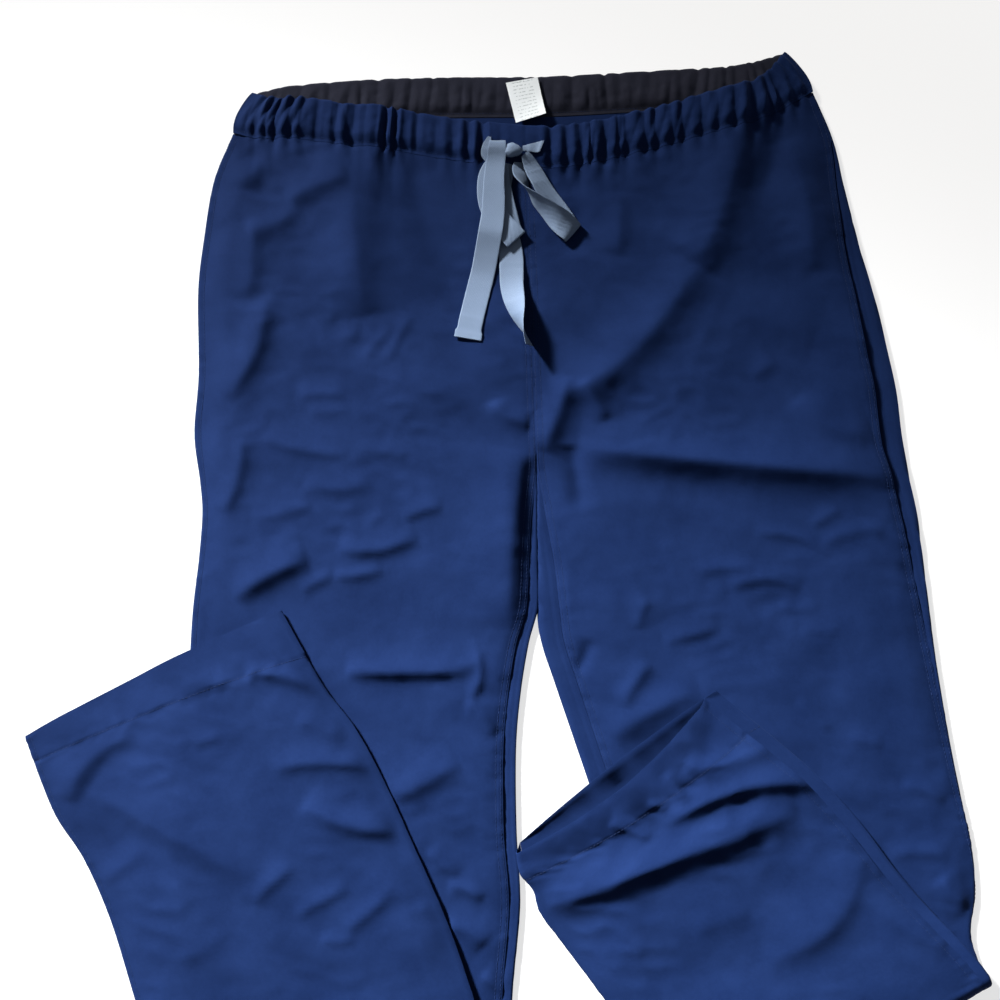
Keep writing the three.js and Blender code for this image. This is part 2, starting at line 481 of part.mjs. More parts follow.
// A point of the flattened tube's section, at distance q from its outer edge, going over the front.
// depth is 0 on the outside of the cloth and CLOTH on its inside.
function tubePoint(leg, station, q, depth, waistline) {
  const quarter = (Math.PI * EDGE_RADIUS) / 2;
  const flat = station.width - 2 * EDGE_RADIUS;
  const around = 2 * (2 * quarter + flat);
  const s = ((q + quarter) % around + around) % around;
  const radius = EDGE_RADIUS - depth;
  const turned = station.turn > 0;
  if (s < 2 * quarter) {
    const angle = s / EDGE_RADIUS;
    const across = EDGE_RADIUS - radius * Math.sin(angle);
    return placeOn(leg, station, across, EDGE_RADIUS - radius * Math.cos(angle), waistline, false);
  }
  if (s < 2 * quarter + flat) {
    const across = EDGE_RADIUS + s - 2 * quarter;
    const flatPlace = placeOn(leg, station, across, 0, waistline, false);
    const rise = turned ? 0 : panelRise(station, across, flatPlace.x, flatPlace.y);
    return placeOn(leg, station, across, 2 * EDGE_RADIUS + rise - depth, waistline, false);
  }
  if (s < 4 * quarter + flat) {
    const angle = Math.PI - (s - 2 * quarter - flat) / EDGE_RADIUS;
    const across = station.width - EDGE_RADIUS + radius * Math.sin(angle);
    return placeOn(leg, station, across, EDGE_RADIUS - radius * Math.cos(angle), waistline, false);
  }
  const across = station.width - EDGE_RADIUS - (s - 4 * quarter - flat);
  const flatPlace = placeOn(leg, station, across, 0, waistline, true);
  const rise = turned ? panelRise(station, across, flatPlace.x, flatPlace.y) : 0;
  return placeOn(leg, station, across, depth - rise, waistline, true);
}

// Distances across one row of a panel: the section is round beside both seams, flat between.
function columnsBetween(start, flatStart, flatEnd, end) {
  const places = [];
  for (let j = 0; j < GRID.edgeCells; j += 1) places.push(mix(start, flatStart, j / GRID.edgeCells));
  for (let j = 0; j < GRID.flatCells; j += 1) places.push(mix(flatStart, flatEnd, j / GRID.flatCells));
  for (let j = 0; j <= GRID.edgeCells; j += 1) places.push(mix(flatEnd, end, j / GRID.edgeCells));
  return places;
}

// Front panel of one leg, from the waist seam to the hem. Above the crotch it ends at the centre.
function frontGrid(leg, depth) {
  const quarter = (Math.PI * EDGE_RADIUS) / 2;
  return stationsOf(leg).map((station) => {
    const innerEdge = 2 * quarter + station.width - 2 * EDGE_RADIUS;
    const start = station.side + SEAM_GAP / 2;
    const flatStart = Math.max(quarter, start + 6);
    if (station.open) {
      const end = station.width - SEAM_GAP / 2;
      return columnsBetween(start, flatStart, end - 12, end).map((q) => {
        if (q < quarter) return tubePoint(leg, station, q, depth, FRONT_WAIST);
        const flatPlace = placeOn(leg, station, q, 0, FRONT_WAIST, false);
        const height = 2 * EDGE_RADIUS + panelRise(station, q, flatPlace.x, flatPlace.y) - depth;
        return placeOn(leg, station, q, height, FRONT_WAIST, false);
      });
    }
    const end = innerEdge - station.inseam - SEAM_GAP / 2;
    const flatEnd = Math.min(innerEdge - quarter, end - 6);
    const places = columnsBetween(start, flatStart, flatEnd, end);
    return places.map((q) => tubePoint(leg, station, q, depth, FRONT_WAIST));
  });
}

// Back panel of one leg: it starts at the inseam, wraps under the leg and ends at the side seam.
function backGrid(leg, depth) {
  const quarter = (Math.PI * EDGE_RADIUS) / 2;
  const stations = stationsOf(leg);
  return stations.map((station, rowNumber) => {
    const innerEdge = 2 * quarter + station.width - 2 * EDGE_RADIUS;
    const end = 2 * innerEdge + station.side - SEAM_GAP / 2;
    const flatEnd = Math.min(2 * innerEdge - quarter, end - 6);
    const rowsFromHem = stations.length - 1 - rowNumber;
    if (station.open) {
      const start = innerEdge + quarter - EDGE_RADIUS + SEAM_GAP / 2;
      return columnsBetween(start, start + 12, flatEnd, end).map((q) => {
        if (q > 2 * innerEdge - quarter) return tubePoint(leg, station, q, depth, BACK_WAIST);
        const across = EDGE_RADIUS + 2 * innerEdge - quarter - q;
        return placeOn(leg, station, across, depth, BACK_WAIST, true);
      });
    }
    const start = innerEdge - station.inseam + SEAM_GAP / 2;
    const flatStart = Math.max(innerEdge + quarter, start + 6);
    const places = columnsBetween(start, flatStart, flatEnd, end);
    const row = places.map((q) => tubePoint(leg, station, q, depth, BACK_WAIST));
    return pulledBack(leg, row, rowsFromHem);
  });
}

// The upper rim of a slightly open hem lies a little further back than the lower one.
function pulledBack(leg, row, rowsFromHem) {
  const reach = [1, 0.66, 0.33][rowsFromHem] ?? 0;
  if (leg.mouth === 0 || reach === 0) return row;
  const turned = leg.turned;
  const hem = turned[turned.length - 1];
  const before = turned[turned.length - 2];
  const direction = new THREE.Vector3(
    before.ox + before.ix - hem.ox - hem.ix,
    before.oy + before.iy - hem.oy - hem.iy,
    0,
  ).normalize();
  return row.map((point, j) => {
    const share = Math.sin((Math.PI * j) / (row.length - 1));
    return point.clone().addScaledVector(direction, leg.mouth * reach * share);
  });
}

// Gathers of a waistband: waves of uneven height, rounded at the top and pinched between.
function gatherWave(position, gathers, seed) {
  const phase = position * gathers + 0.35 * Math.sin(position * 19 + seed);
  const wave = Math.abs(Math.sin(Math.PI * phase));
  return wave * (0.72 + 0.28 * Math.sin(position * 31 + 2 * seed));
}

// The two legs' top edges in one line from the viewer's left to right: the seam of a waistband.
function topEdge(grid, depth) {
  const right = grid(RIGHT_LEG, depth)[0];
  const left = grid(LEFT_LEG, depth)[0];
  return [...right, ...left].sort((a, b) => a.x - b.x);
}

// Place on a line of points at one x.
function onLine(points, x) {
  let i = 0;
  while (i < points.length - 2 && x > points[i + 1].x) i += 1;
  const t = clamp((x - points[i].x) / Math.max(0.01, points[i + 1].x - points[i].x), 0, 1);
  return points[i].clone().lerp(points[i + 1], t);
}

// A waistband is a strip of casing along its waist seam. baseAt gives the level of its underside.
function waistbandGrids(seam, waistline, gathers, highest, seed, baseAt) {
  const columns = gathers * 3;
  const levels = [0, 0.3, 0.72, 1];
  const swell = [0.35, 1, 0.9, 0.3];
  const first = waistline[0].x + BAND_INSET;
  const last = waistline[waistline.length - 1].x - BAND_INSET;
  const outer = [];
  const inner = [];
  for (let i = 0; i <= columns; i += 1) {
    const position = i / columns;
    const x = mix(first, last, position);
    const start = onLine(seam, x);
    const lean = lineAt(waistline, 'lean', x);
    const wave = gatherWave(position, gathers, seed);
    const ends = smooth(Math.min(position, 1 - position) / 0.02);
    const nearEnd = smooth((Math.abs(2 * position - 1) - 0.7) / 0.3);
    const bulge = 4 * BAND_BULGE * nearEnd * Math.sign(2 * position - 1);
    const place = (k, z) => {
      const level = levels[k];
      const scallop = k === levels.length - 1 ? 1.4 * wave : 0;
      const y = start.y + SEAM_GAP + BAND_HEIGHT * level + scallop;
      return new THREE.Vector3(x + lean * level + bulge * level * (1 - level), y, z);
    };
    inner.push(levels.map((level, k) => place(k, baseAt(start.z, level))));
    outer.push(levels.map((level, k) => {
      const thick = BAND_CLOTH + highest * wave * swell[k] * ends;
      return place(k, baseAt(start.z, level) + thick);
    }));
  }
  return { outer, inner };
}

// Height of a grid's surface at one place in plan, or -Infinity beside it.
function heightOn(grid, x, y) {
  let highest = -Infinity;
  const test = (a, b, c) => {
    const area = (b.x - a.x) * (c.y - a.y) - (c.x - a.x) * (b.y - a.y);
    const u = ((b.x - x) * (c.y - y) - (c.x - x) * (b.y - y)) / area;
    const v = ((c.x - x) * (a.y - y) - (a.x - x) * (c.y - y)) / area;
    if (u >= 0 && v >= 0 && u + v <= 1) highest = Math.max(highest, u * a.z + v * b.z + (1 - u - v) * c.z);
  };
  for (let i = 0; i < grid.length - 1; i += 1) {
    for (let j = 0; j < grid[i].length - 1; j += 1) {
      test(grid[i][j], grid[i + 1][j], grid[i + 1][j + 1]);
      test(grid[i][j], grid[i + 1][j + 1], grid[i][j + 1]);
    }
  }
  return highest;
}

// A flat tape that lies on the given grids, with a round-cornered section of eight sides.
function tape(route, grids) {
  const places = [];
  for (let i = 0; i <= (route.length - 1) * TAPE_STEPS; i += 1) {
    const at = (key) => columnAt(route, key, i / TAPE_STEPS);
    const heading = THREE.MathUtils.degToRad(at('heading'));
    const slope = THREE.MathUtils.degToRad(at('slope'));
    const width = TAPE_WIDTH * at('wide');
    const across = new THREE.Vector3(
      Math.cos(heading) * Math.cos(slope),
      Math.sin(heading) * Math.cos(slope),
      Math.sin(slope),
    );
    const middle = new THREE.Vector3(at('x'), at('y'), 0);
    let base = 0;
    for (const share of [-0.5, -0.25, 0, 0.25, 0.5]) {
      const under = middle.clone().addScaledVector(across, share * width);
      for (const grid of grids) base = Math.max(base, heightOn(grid, under.x, under.y));
    }
    const tall = width * Math.abs(Math.sin(slope)) + TAPE_THICK * Math.abs(Math.cos(slope));
    middle.z = base + SEAM_GAP + at('lift') + tall / 2;
    places.push({ middle, across, width });
  }
  const positions = [];
  places.forEach(({ middle, across, width }, i) => {
    const before = places[Math.max(i - 1, 0)].middle;
    const after = places[Math.min(i + 1, places.length - 1)].middle;
    const up = after.clone().sub(before).cross(across).normalize();
    for (const [a, b] of tapeSection(width)) {
      const point = middle.clone().addScaledVector(across, a).addScaledVector(up, b);
      positions.push(point.x, point.y, point.z);
    }
  });
  return tubeOfRings(positions, places.length);
}

// Corners of a tape's section: across its width, and up through its thickness.
function tapeSection(width) {
  const half = width / 2;
  const thick = TAPE_THICK / 2;
  const corner = 0.6 * thick;
  return [
    [-half, -thick + corner], [-half + corner, -thick], [half - corner, -thick], [half, -thick + corner],
    [half, thick - corner], [half - corner, thick], [-half + corner, thick], [-half, thick - corner],
  ];
}

// A closed tube through rings of equally many points, with a flat end at each side.
function tubeOfRings(positions, rings) {
  const sides = positions.length / 3 / rings;
  const triangles = [];
  for (let i = 0; i < rings - 1; i += 1) {
    for (let k = 0; k < sides; k += 1) {
      const a = i * sides + k;
      const b = i * sides + ((k + 1) % sides);
      triangles.push(a, b, b + sides, a, b + sides, a + sides);
    }
  }
  const far = (rings - 1) * sides;
  for (let k = 1; k < sides - 1; k += 1) {
    triangles.push(0, k + 1, k);
    triangles.push(far, far + k, far + k + 1);
  }
  return closedGeometry(positions, triangles);
}

// The knot: a flattened ball with the soft lobes of a pulled-up bow.
function knotGeometry(grids) {
  const positions = [];
  let base = 0;
  for (const dx of [-0.6, 0, 0.6]) {
    for (const dy of [-0.6, 0, 0.6]) {
      const x = KNOT.x + dx * KNOT.radiusX;
      const y = KNOT.y + dy * KNOT.radiusY;
      for (const grid of grids) base = Math.max(base, heightOn(grid, x, y));
    }
  }
  for (let i = 0; i <= KNOT.rings; i += 1) {
    const level = Math.PI * mix(0.08, 0.92, i / KNOT.rings);
    for (let k = 0; k < KNOT.sides; k += 1) {
      const angle = (2 * Math.PI * k) / KNOT.sides;
      const lobe = (1 + 0.09 * Math.cos(3 * angle + 0.6)) * Math.sin(level);
      positions.push(
        KNOT.x + KNOT.radiusX * lobe * Math.cos(angle),
        KNOT.y + KNOT.radiusY * lobe * Math.sin(angle),
        base + SEAM_GAP + KNOT.radiusZ * (1 + Math.cos(level)),
      );
    }
  }
  return tubeOfRings(positions, KNOT.rings + 1);
}

// The care label is a small sheet over the back waistband, whose outside is the given grid.
function labelGeometry(under) {
  const { topLeft, topRight, footLeft, footRight } = LABEL_CORNERS;
  const corner = (key, s, t) => mix(mix(topLeft[key], topRight[key], s), mix(footLeft[key], footRight[key], s), t);
  const places = [];
  for (let i = 0; i <= LABEL_CELLS.rows; i += 1) {
    const row = [];
    for (let j = 0; j <= LABEL_CELLS.columns; j += 1) {
      const s = j / LABEL_CELLS.columns;
      const t = i / LABEL_CELLS.rows;
      row.push(new THREE.Vector3(corner('x', s, t), corner('y', s, t), corner('curl', s, t) * t));
    }
    places.push(row);
  }
  const base = Math.max(...places.flat().map((place) => heightOn(under, place.x, place.y))) + SEAM_GAP;
  const sheet = (lift) => places.map((row) => row.map((p) => new THREE.Vector3(p.x, p.y, p.z + base + lift)));
  return wall(sheet(LABEL_THICK), sheet(0));
}

const garment = new THREE.Group();

function addPiece(name, geometry, color, roughness) {
  const material = new THREE.MeshStandardMaterial({ color, roughness, metalness: 0, side: THREE.DoubleSide });
  const mesh = new THREE.Mesh(geometry, material);
  mesh.name = name;
  mesh.position.set(CENTRE.x, CENTRE.y, 0);
  garment.add(mesh);
}

const panel = (grid, leg) => wall(grid(leg, 0), grid(leg, CLOTH));
addPiece('front_panel_right', panel(frontGrid, RIGHT_LEG), NAVY, 0.85);
addPiece('front_panel_left', panel(frontGrid, LEFT_LEG), NAVY, 0.85);
addPiece('back_panel_right', panel(backGrid, RIGHT_LEG), NAVY, 0.85);
addPiece('back_panel_left', panel(backGrid, LEFT_LEG), NAVY, 0.85);

// The front band stands on the front panels' top edge and, at the sides, on the back band.
const frontBase = (seamHeight, level) => Math.max(BACK_BAND_TOP + SEAM_GAP, seamHeight + 1.2 * level);
const frontSeam = topEdge(frontGrid, CLOTH);
const frontBand = waistbandGrids(frontSeam, FRONT_WAIST, FRONT_GATHERS, 2.4, 1.3, frontBase);
addPiece('waistband_front', wall(frontBand.outer, frontBand.inner), NAVY, 0.88);
const backSeam = topEdge(backGrid, 0);
const backWaves = BACK_BAND_TOP - BAND_CLOTH;
const backBand = waistbandGrids(backSeam, BACK_WAIST, BACK_GATHERS, backWaves, 4.1, () => 0);
addPiece('waistband_back', wall(backBand.outer, backBand.inner), NAVY_INSIDE, 0.9);
addPiece('care_label', labelGeometry(backBand.outer), LABEL_WHITE, 0.7);

// The drawstring comes out of two buttonholes in the front band and is tied in a bow.
const underTape = [frontGrid(RIGHT_LEG, 0), frontGrid(LEFT_LEG, 0), frontBand.outer];
addPiece('drawstring_knot', knotGeometry(underTape), TAPE_GREY, 0.75);
addPiece('drawstring_lead_right', tape(LEAD_RIGHT, underTape), TAPE_GREY, 0.75);
addPiece('drawstring_lead_left', tape(LEAD_LEFT, underTape), TAPE_GREY, 0.75);
addPiece('drawstring_end_long', tape(LONG_END, underTape), TAPE_GREY, 0.75);
addPiece('drawstring_end_short', tape(SHORT_END, underTape), TAPE_GREY, 0.75);
addPiece('drawstring_loop_right', tape(RIGHT_LOOP, underTape), TAPE_GREY, 0.75);
addPiece('drawstring_loop_left', tape(LEFT_LOOP, underTape), TAPE_GREY, 0.75);

export default garment;
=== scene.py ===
"""Scrub trousers laid flat, both lower legs turned up over the front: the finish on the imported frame.

Tables and shapes are in millimetres from the crotch point, X to the viewer's right, Y from the hems to
the waist, Z up from the table. Left and right in names are the wearer's. Objects are made in metres.
"""
import math

import bpy
import numpy as np
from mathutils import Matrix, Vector
from mathutils.bvhtree import BVHTree


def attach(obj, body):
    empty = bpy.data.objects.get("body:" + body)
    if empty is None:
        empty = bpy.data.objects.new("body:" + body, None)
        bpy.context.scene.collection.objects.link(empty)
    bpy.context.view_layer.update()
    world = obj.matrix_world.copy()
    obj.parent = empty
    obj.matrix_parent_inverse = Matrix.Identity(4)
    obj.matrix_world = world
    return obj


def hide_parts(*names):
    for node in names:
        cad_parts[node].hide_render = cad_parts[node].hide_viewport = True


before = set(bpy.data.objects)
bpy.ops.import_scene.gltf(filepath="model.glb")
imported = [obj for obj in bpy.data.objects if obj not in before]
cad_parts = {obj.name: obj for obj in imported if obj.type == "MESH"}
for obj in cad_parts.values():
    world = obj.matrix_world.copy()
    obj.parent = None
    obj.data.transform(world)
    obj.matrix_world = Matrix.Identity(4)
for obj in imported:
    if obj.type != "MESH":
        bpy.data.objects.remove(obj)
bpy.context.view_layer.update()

# Sizes shared with the solids
MM = 0.001
CENTRE = (32.12, 71.12, 0.0)  # the crotch point's place in the part's frame
SEAM_GAP = 0.3
SEAM_TOUCH = 0.05  # half the gap that is left at a seam once the panels are sewn
EDGE_RADIUS = 2.0
FOLD_RADIUS = 7.0
TURNED_LIFT = 7.4
OVERHANG_FALL = 62.0
SETTLE_LENGTH = 95.0
EDGE_RAMP = 26.0
BAND_HEIGHT = 36.0
BAND_INSET = 0.9
BAND_BULGE = 4.5
BACK_BAND_TOP = 3.8
CENTRE_LEAN = -0.0302
WAIST_FADE = 90.0
TAPE_WIDTH = 20.0

# Sizes of the finish alone
CLOTH = 0.8
CELL = 2.75  # length of a panel's cells where it shows, away from the seams
HIDDEN_CELL = 6.0
SEAM_OFFSETS = np.array([0, 0.7, 1.4, 2.2, 3.0, 4.0, 5.2, 6.4, 7.6, 9.0, 11.4])  # columns beside a seam
FOLD_ROWS = 18
CROTCH_BLEND = 26.0  # length over which the open body closes into two tubes
HEM_DEPTH = 33.0
HEM_STITCH = 2.2  # how far the hem's stitching lies inside the turned-in edge
TOPSTITCH = 5.6  # how far a seam's second row of stitches lies from it
MOUTH_LENGTH = 82.0  # how far from an open hem its upper layer is drawn back
CREASE_RAMP = 15.0  # distance from a fold's edge over which creases grow to their full height
COVER_RAMP = 14.0  # distance under a turned-up leg over which the creases below it die out
LOWEST_TROUGH = -1.9
WAIST_TROUGH = 1.0  # the lowest beside the waist seam, so that the band lies level with it
WAIST_REACH = 22.0
LEGS_CLOSE = 0.7  # how far each leg's inner edge is pressed against the other's
SEAM_CLOSE = 0.2  # the same for the two sides of the centre seam
TOUCH_RAMP = 5.0
CASING_CLOTH = 0.6
TAPE_THICK = 0.9
TAB_LENGTH = 8.0  # the long end's tip is folded back and sewn down
TAB_WIDER = 1.12
TAB_THICKER = 1.9
LABEL_THICK = 0.35
STITCH_LENGTH = 2.2
STITCH_PITCH = 3.0
STITCH_RADIUS = 0.22
STITCH_SIDES = 4
STITCH_RINGS = ((0, 0.3), (0.5, 1), (1, 0.3))  # share of its length, and of its radius there
INSIDE_LIFT = 0.175  # lowest height of a wall's inside
LOWER_RIM = {"lift": 4.5, "length": 15.0}  # how high an open hem's rims stand, and from how far back
UPPER_RIM = {"lift": 6.0, "length": 44.0}
SEAM_DIP = {"depth": 0.22, "width": 2.2}
ROW_DIP = {"depth": 0.18, "width": 1.4}  # at a seam's second row of stitches
PUCKER_SIZE = 6.0
PUCKER_HEIGHT = 0.8

CAMERA = {"lens": 45.0, "elevation": 78.0, "distance": 1.0, "target": (0.002485, 0.051287, 0.0)}


def table(columns, *rows):
    """A table's rows, as one array for each named column."""
    return {name: np.array(values, float) for name, values in zip(columns.split(), zip(*rows))}


# Waist seams, viewer's left to right. lean is how far the band's top edge leans in x.
FRONT_WAIST = table(
    "x y lean",
    (-257, 298, 15), (-231, 291, 9), (-200, 290, 4), (-160, 284, 3), (-120, 281, 2), (-80, 274, 1),
    (-30, 267, 0), (14, 264, 0), (50, 269, 0), (100, 281, 0), (138, 292, 0), (180, 303, 0),
    (207, 317, -8), (239, 337, -23),
)
BACK_WAIST = table(
    "x y lean",
    (-257, 298, 15), (-215, 306, 4), (-143, 312, 2), (-80, 314, 0), (10, 315, 0), (98, 320, 0),
    (161, 324, 0), (190, 328, -6), (239, 337, -23),
)

# One row for each section of a leg: (ox, oy) is its outer edge and (ix, iy) its inner edge.
BODY_COLUMNS = "ox oy iy rise back_rise side inseam"
THIGH_COLUMNS = "ox oy ix iy rise side inseam"
TURNED_COLUMNS = "ox oy ix iy rise side inseam rest bow"
RIGHT_LEG = {
    "name": "right",
    "body": table(
        BODY_COLUMNS,
        (-257, 298, 265, 4.2, 50, 0, 0),
        (-271, 255, 225, 4.4, 38, 0, 0),
        (-277, 202, 178, 4.3, 28, 0, 0),
        (-279.5, 155, 134, 4.1, 18, 0, 0),
        (-275.5, 85, 70, 3.9, 7, 0, 0),
        (-276.5, 35, 29, 3.7, 2, 0, 0),
        (-270, -4, 0, 3.6, 0, 0, 2),
    ),
    "thigh": table(
        THIGH_COLUMNS,
        (-270, -4, 0, 0, 3.6, 0, 2),
        (-266.8, -30, 0, -36, 3.4, 0, 6),
        (-267.6, -66, 0, -72, 3.2, 0, 8),
        (-270.2, -104, -0.2, -108, 2.8, 0, 10),
        (-270.8, -136, -7, -134, 2.5, 0, 11),
        (-270, -175, -13.4, -172, 2.4, 0, 11),
        (-269, -225, -17.2, -215, 2.4, 0, 11),
        (-266, -290, -17, -275, 2.4, 0, 11),
        (-262, -355, -14.2, -328, 2.4, 0, 10),
        (-254, -432, -20, -388, 1.6, 0, 9),
        (-246, -508, -24, -460, 0.6, 0, 8),
    ),
    "turned": table(
        TURNED_COLUMNS,
        (-246, -508, -24, -460, 0.6, 0, 8, 0, 0),
        (-275, -452, -44, -406, 3.0, 0, 8, 0, 0),
        (-298, -395, -67, -344, 3.6, 0, 8, 0, 0),
        (-320, -340, -94, -286, 3.6, 0, 8, 0, 0),
        (-342.5, -297, -119, -235, 3.4, 0, 8, 0, 1),
        (-365, -267, -141.5, -197, 3.4, 0, 8, 0, 2),
        (-380, -238, -166, -166, 3.2, 0, 8, 0, 3),
        (-394, -206, -199.5, -110, 2.1, 0, 8, 0, 3.5),
    ),
    "overhang": "outer",
    "mouth": 0,
}
LEFT_LEG = {
    "name": "left",
    "body": table(
        BODY_COLUMNS,
        (239, 337, 265, 4.2, 50, 0, 0),
        (253.5, 293, 229, 4.4, 40, 3, 0),
        (261.5, 244, 191, 4.4, 31, 8, 0),
        (271.5, 190, 150, 4.2, 22, 14, 0),
        (280.5, 150, 120, 4.1, 15, 17, 0),
        (287, 110, 88, 4.0, 10, 19, 0),
        (292.8, 70, 56, 3.9, 5, 19, 0),
        (295, 30, 25, 3.7, 2, 19, 0),
        (299, -4, 0, 3.6, 0, 17, 2),
    ),
    "thigh": table(
        THIGH_COLUMNS,
        (299, -4, 0, 0, 3.6, 17, 2),
        (303.2, -38, 0, -36, 3.5, 15, 8),
        (305, -72, 0, -72, 3.4, 12, 14),
        (307, -108, 0.1, -110, 3.2, 9, 18),
        (308.8, -140, 2.4, -134, 3.0, 6, 19),
        (312, -178, 12, -164, 2.9, 4, 19),
        (316.4, -218, 26.7, -207, 2.8, 2, 18),
        (321, -252, 41, -250, 2.6, 1, 17),
        (326, -288, 60, -312, 2.3, -2, 15),
        (326, -322, 75, -362, 2.0, -5, 12),
        (320.5, -350, 91, -418, 1.4, -7, 10),
        (326.5, -377, 110, -482, 0.6, -9, 8),
    ),
    "turned": table(
        TURNED_COLUMNS,
        (326.5, -377, 110, -482, 0.6, -9, 8, 0, 0),
        (314, -360, 90, -452, 2.6, -10, 8, 0, 0),
        (290, -333, 64, -418, 3.4, -11, 8, 0, 0),
        (265, -303, 41, -388, 4.0, -12, 8, 0, 0),
        (240, -268, 16, -356, 4.2, -13, 8, 0, 0),
        (212, -236, 0, -335, 4.2, -13, 8, 1, 0),
        (184, -211, -6, -318, 3.8, -13, 8, 3, 1),
        (160, -191, -16, -305, 3.0, -13, 8, 5, 2),
        (136, -171.5, -20, -289, 2.1, -12, 8, 5.4, 4),
    ),
    "overhang": "inner",
    "mouth": 17,
}
for leg in (RIGHT_LEG, LEFT_LEG):
    leg["body"]["ix"] = CENTRE_LEAN * leg["body"]["iy"]

# Folds and creases. Each runs from (x0, y0) through (x1, y1) to (x2, y2) and rises or sinks by rise.
# It falls over a length of left on the left of its run, and of right on the right.
CREASE_COLUMNS = "x0 y0 x1 y1 x2 y2 left right rise"
FRONT_FOLDS = table(
    CREASE_COLUMNS,
    (133, 176, 156, 228, 189, 338, 28, 18, 9.0),
    (14, 64, 79, 101, 142, 190, 22, 16, 8.0),
    (58, 74, 72, 58, 68, 38, 12, 12, -1.6),
    (6, 18, 18, 50, 26, 80, 12, 9, 5.6),
    (57, 44, 48, 60, 37, 76, 7, 7, 3.6),
    (34, 20, 150, 7, 288, -4, 18, 11, 10.5),
    (-142, 132, -152, 206, -156, 292, 28, 24, 9.5),
    (-60, 124, -88, 214, -118, 284, 24, 36, -5.6),
    (-209, 235, -185, 244, -157, 255, 20, 9, 5.0),
    (-240, 244, -226, 274, -200, 290, 12, 22, 4.6),
    (-240, 286, -230, 262, -233, 236, 11, 13, -4.0),
    (-240, 205, -217, 213, -196, 226, 16, 9, 3.2),
    (-252, 62, -229, 103, -224, 150, 18, 8.5, 5.4),
    (-238, 146, -236, 180, -239, 216, 16, 9, 3.4),
    (67, 186, 70, 208, 72, 242, 12, 9, 3.0),
    (228, 172, 227, 235, 214, 292, 18, 14, 4.2),
    (206, 336, 208, 290, 186, 232, 16, 15, -4.6),
    (175, 80, 185, 87, 196, 93, 7, 5, 1.4),
    (211, 63, 238, 36, 270, 35, 18, 11, 4.0),
    (-36, 60, -26, 48, -7, 40, 8, 7, 4.0),
    (-22, -124, -20, -50, -12, 20, 24, 10, 5.2),
    (29, 24, 31, 2, 36, -30, 8, 10, -3.8),
    (20, 268, 34, 232, 30, 186, 16, 16, -3.0),
    (96, -118, 60, -70, 24, -40, 10, 14, 2.4),
    (-128, 60, -60, 74, -20, 92, 26, 20, 2.4),
    (110, 112, 170, 132, 232, 120, 24, 20, 2.2),
)
SMALL_CREASES = table(
    CREASE_COLUMNS,
    (-121, 93, -113, 114, -103, 133, 6, 3.5, 1.6),
    (-140, 98, -129, 111, -119, 123, 6, 3.5, 1.4),
    (-152, 110, -149, 121, -147, 131, 5, 3.5, 1),
    (-193, 63, -175, 66, -155, 64, 7, 3.5, 1.6),
    (-186, 53, -167, 51, -152, 54, 8, 4, 1),
    (-222, 31, -194, 20, -150, 14, 9, 4, 2),
    (-150, 12, -128, 18, -104, 12, 8, 4, 1.3),
    (-186, -8, -161, -13, -132, -7, 9, 6, 2.2),
    (-226, -38, -202, -33, -179, -26, 9, 6, 2),
    (-106, -37, -93, -31, -75, -27, 8, 3.5, 2.3),
    (-157, -61, -126, -62, -94, -51, 12, 5, 3.6),
    (-160, -82, -141, -82, -121, -77, 6, 4, 2.2),
    (-186, -95, -174, -88, -160, -82, 5, 4, 1.6),
    (-238, -101, -210, -82, -180, -70, 16, 8.5, 6.1),
    (-149, -157, -103, -158, -48, -156, 12, 4.5, 4.9),
    (-54, -178, -45, -160, -51, -132, 5, 3.5, 2.2),
    (-250, -33, -238, -3, -238, 30, 9, 5, 2.6),
    (-56, -182, -45, -188, -33, -205, 5, 6, 2.3),
    (-112, -253, -86, -240, -60, -225, 16, 8, 3.8),
    (-84, -291, -73, -300, -62, -309, 7, 4, 2),
    (-68, -314, -55, -318, -42, -325, 6, 4, 2.3),
    (-70, -344, -55, -347, -41, -358, 8, 8, 3.5),
    (-43, -378, -33, -386, -22, -395, 6, 4, 2.5),
    (125, -80, 148, -76, 170, -78, 7, 4, 1.9),
    (150, -92, 178, -85, 205, -93, 8, 4, 2.8),
    (172, -49, 203, -51, 230, -66, 7, 4, 2),
    (224, -58, 247, -48, 276, -46, 7, 5, 1.9),
    (216, -43, 227, -36, 240, -30, 5, 3.5, 1.4),
    (98, -134, 118, -129, 142, -123, 8, 4, 1.7),
    (64, -184, 74, -166, 87, -150, 8, 5, 2.6),
    (54, -208, 84, -189, 124, -170, 14, 9, 4.1),
    (197, -181, 210, -190, 222, -203, 8, 5, 1.3),
    (188, -106, 204, -109, 220, -104, 6, 4, 1.2),
    (204, -124, 219, -126, 234, -125, 6, 4, 1),
    (237, -208, 250, -210, 262, -213, 6, 4, 1),
    (276, -241, 292, -246, 308, -254, 6, 5, 1.6),
    (262, -296, 284, -291, 308, -294, 8, 5, 1.7),
    (298, -310, 309, -322, 320, -331, 8, 6, 3.2),
    (78, -124, 80, -112, 86, -100, 6, 4, 1.4),
    (30, -158, 36, -146, 40, -132, 5, 5, -2.3),
)
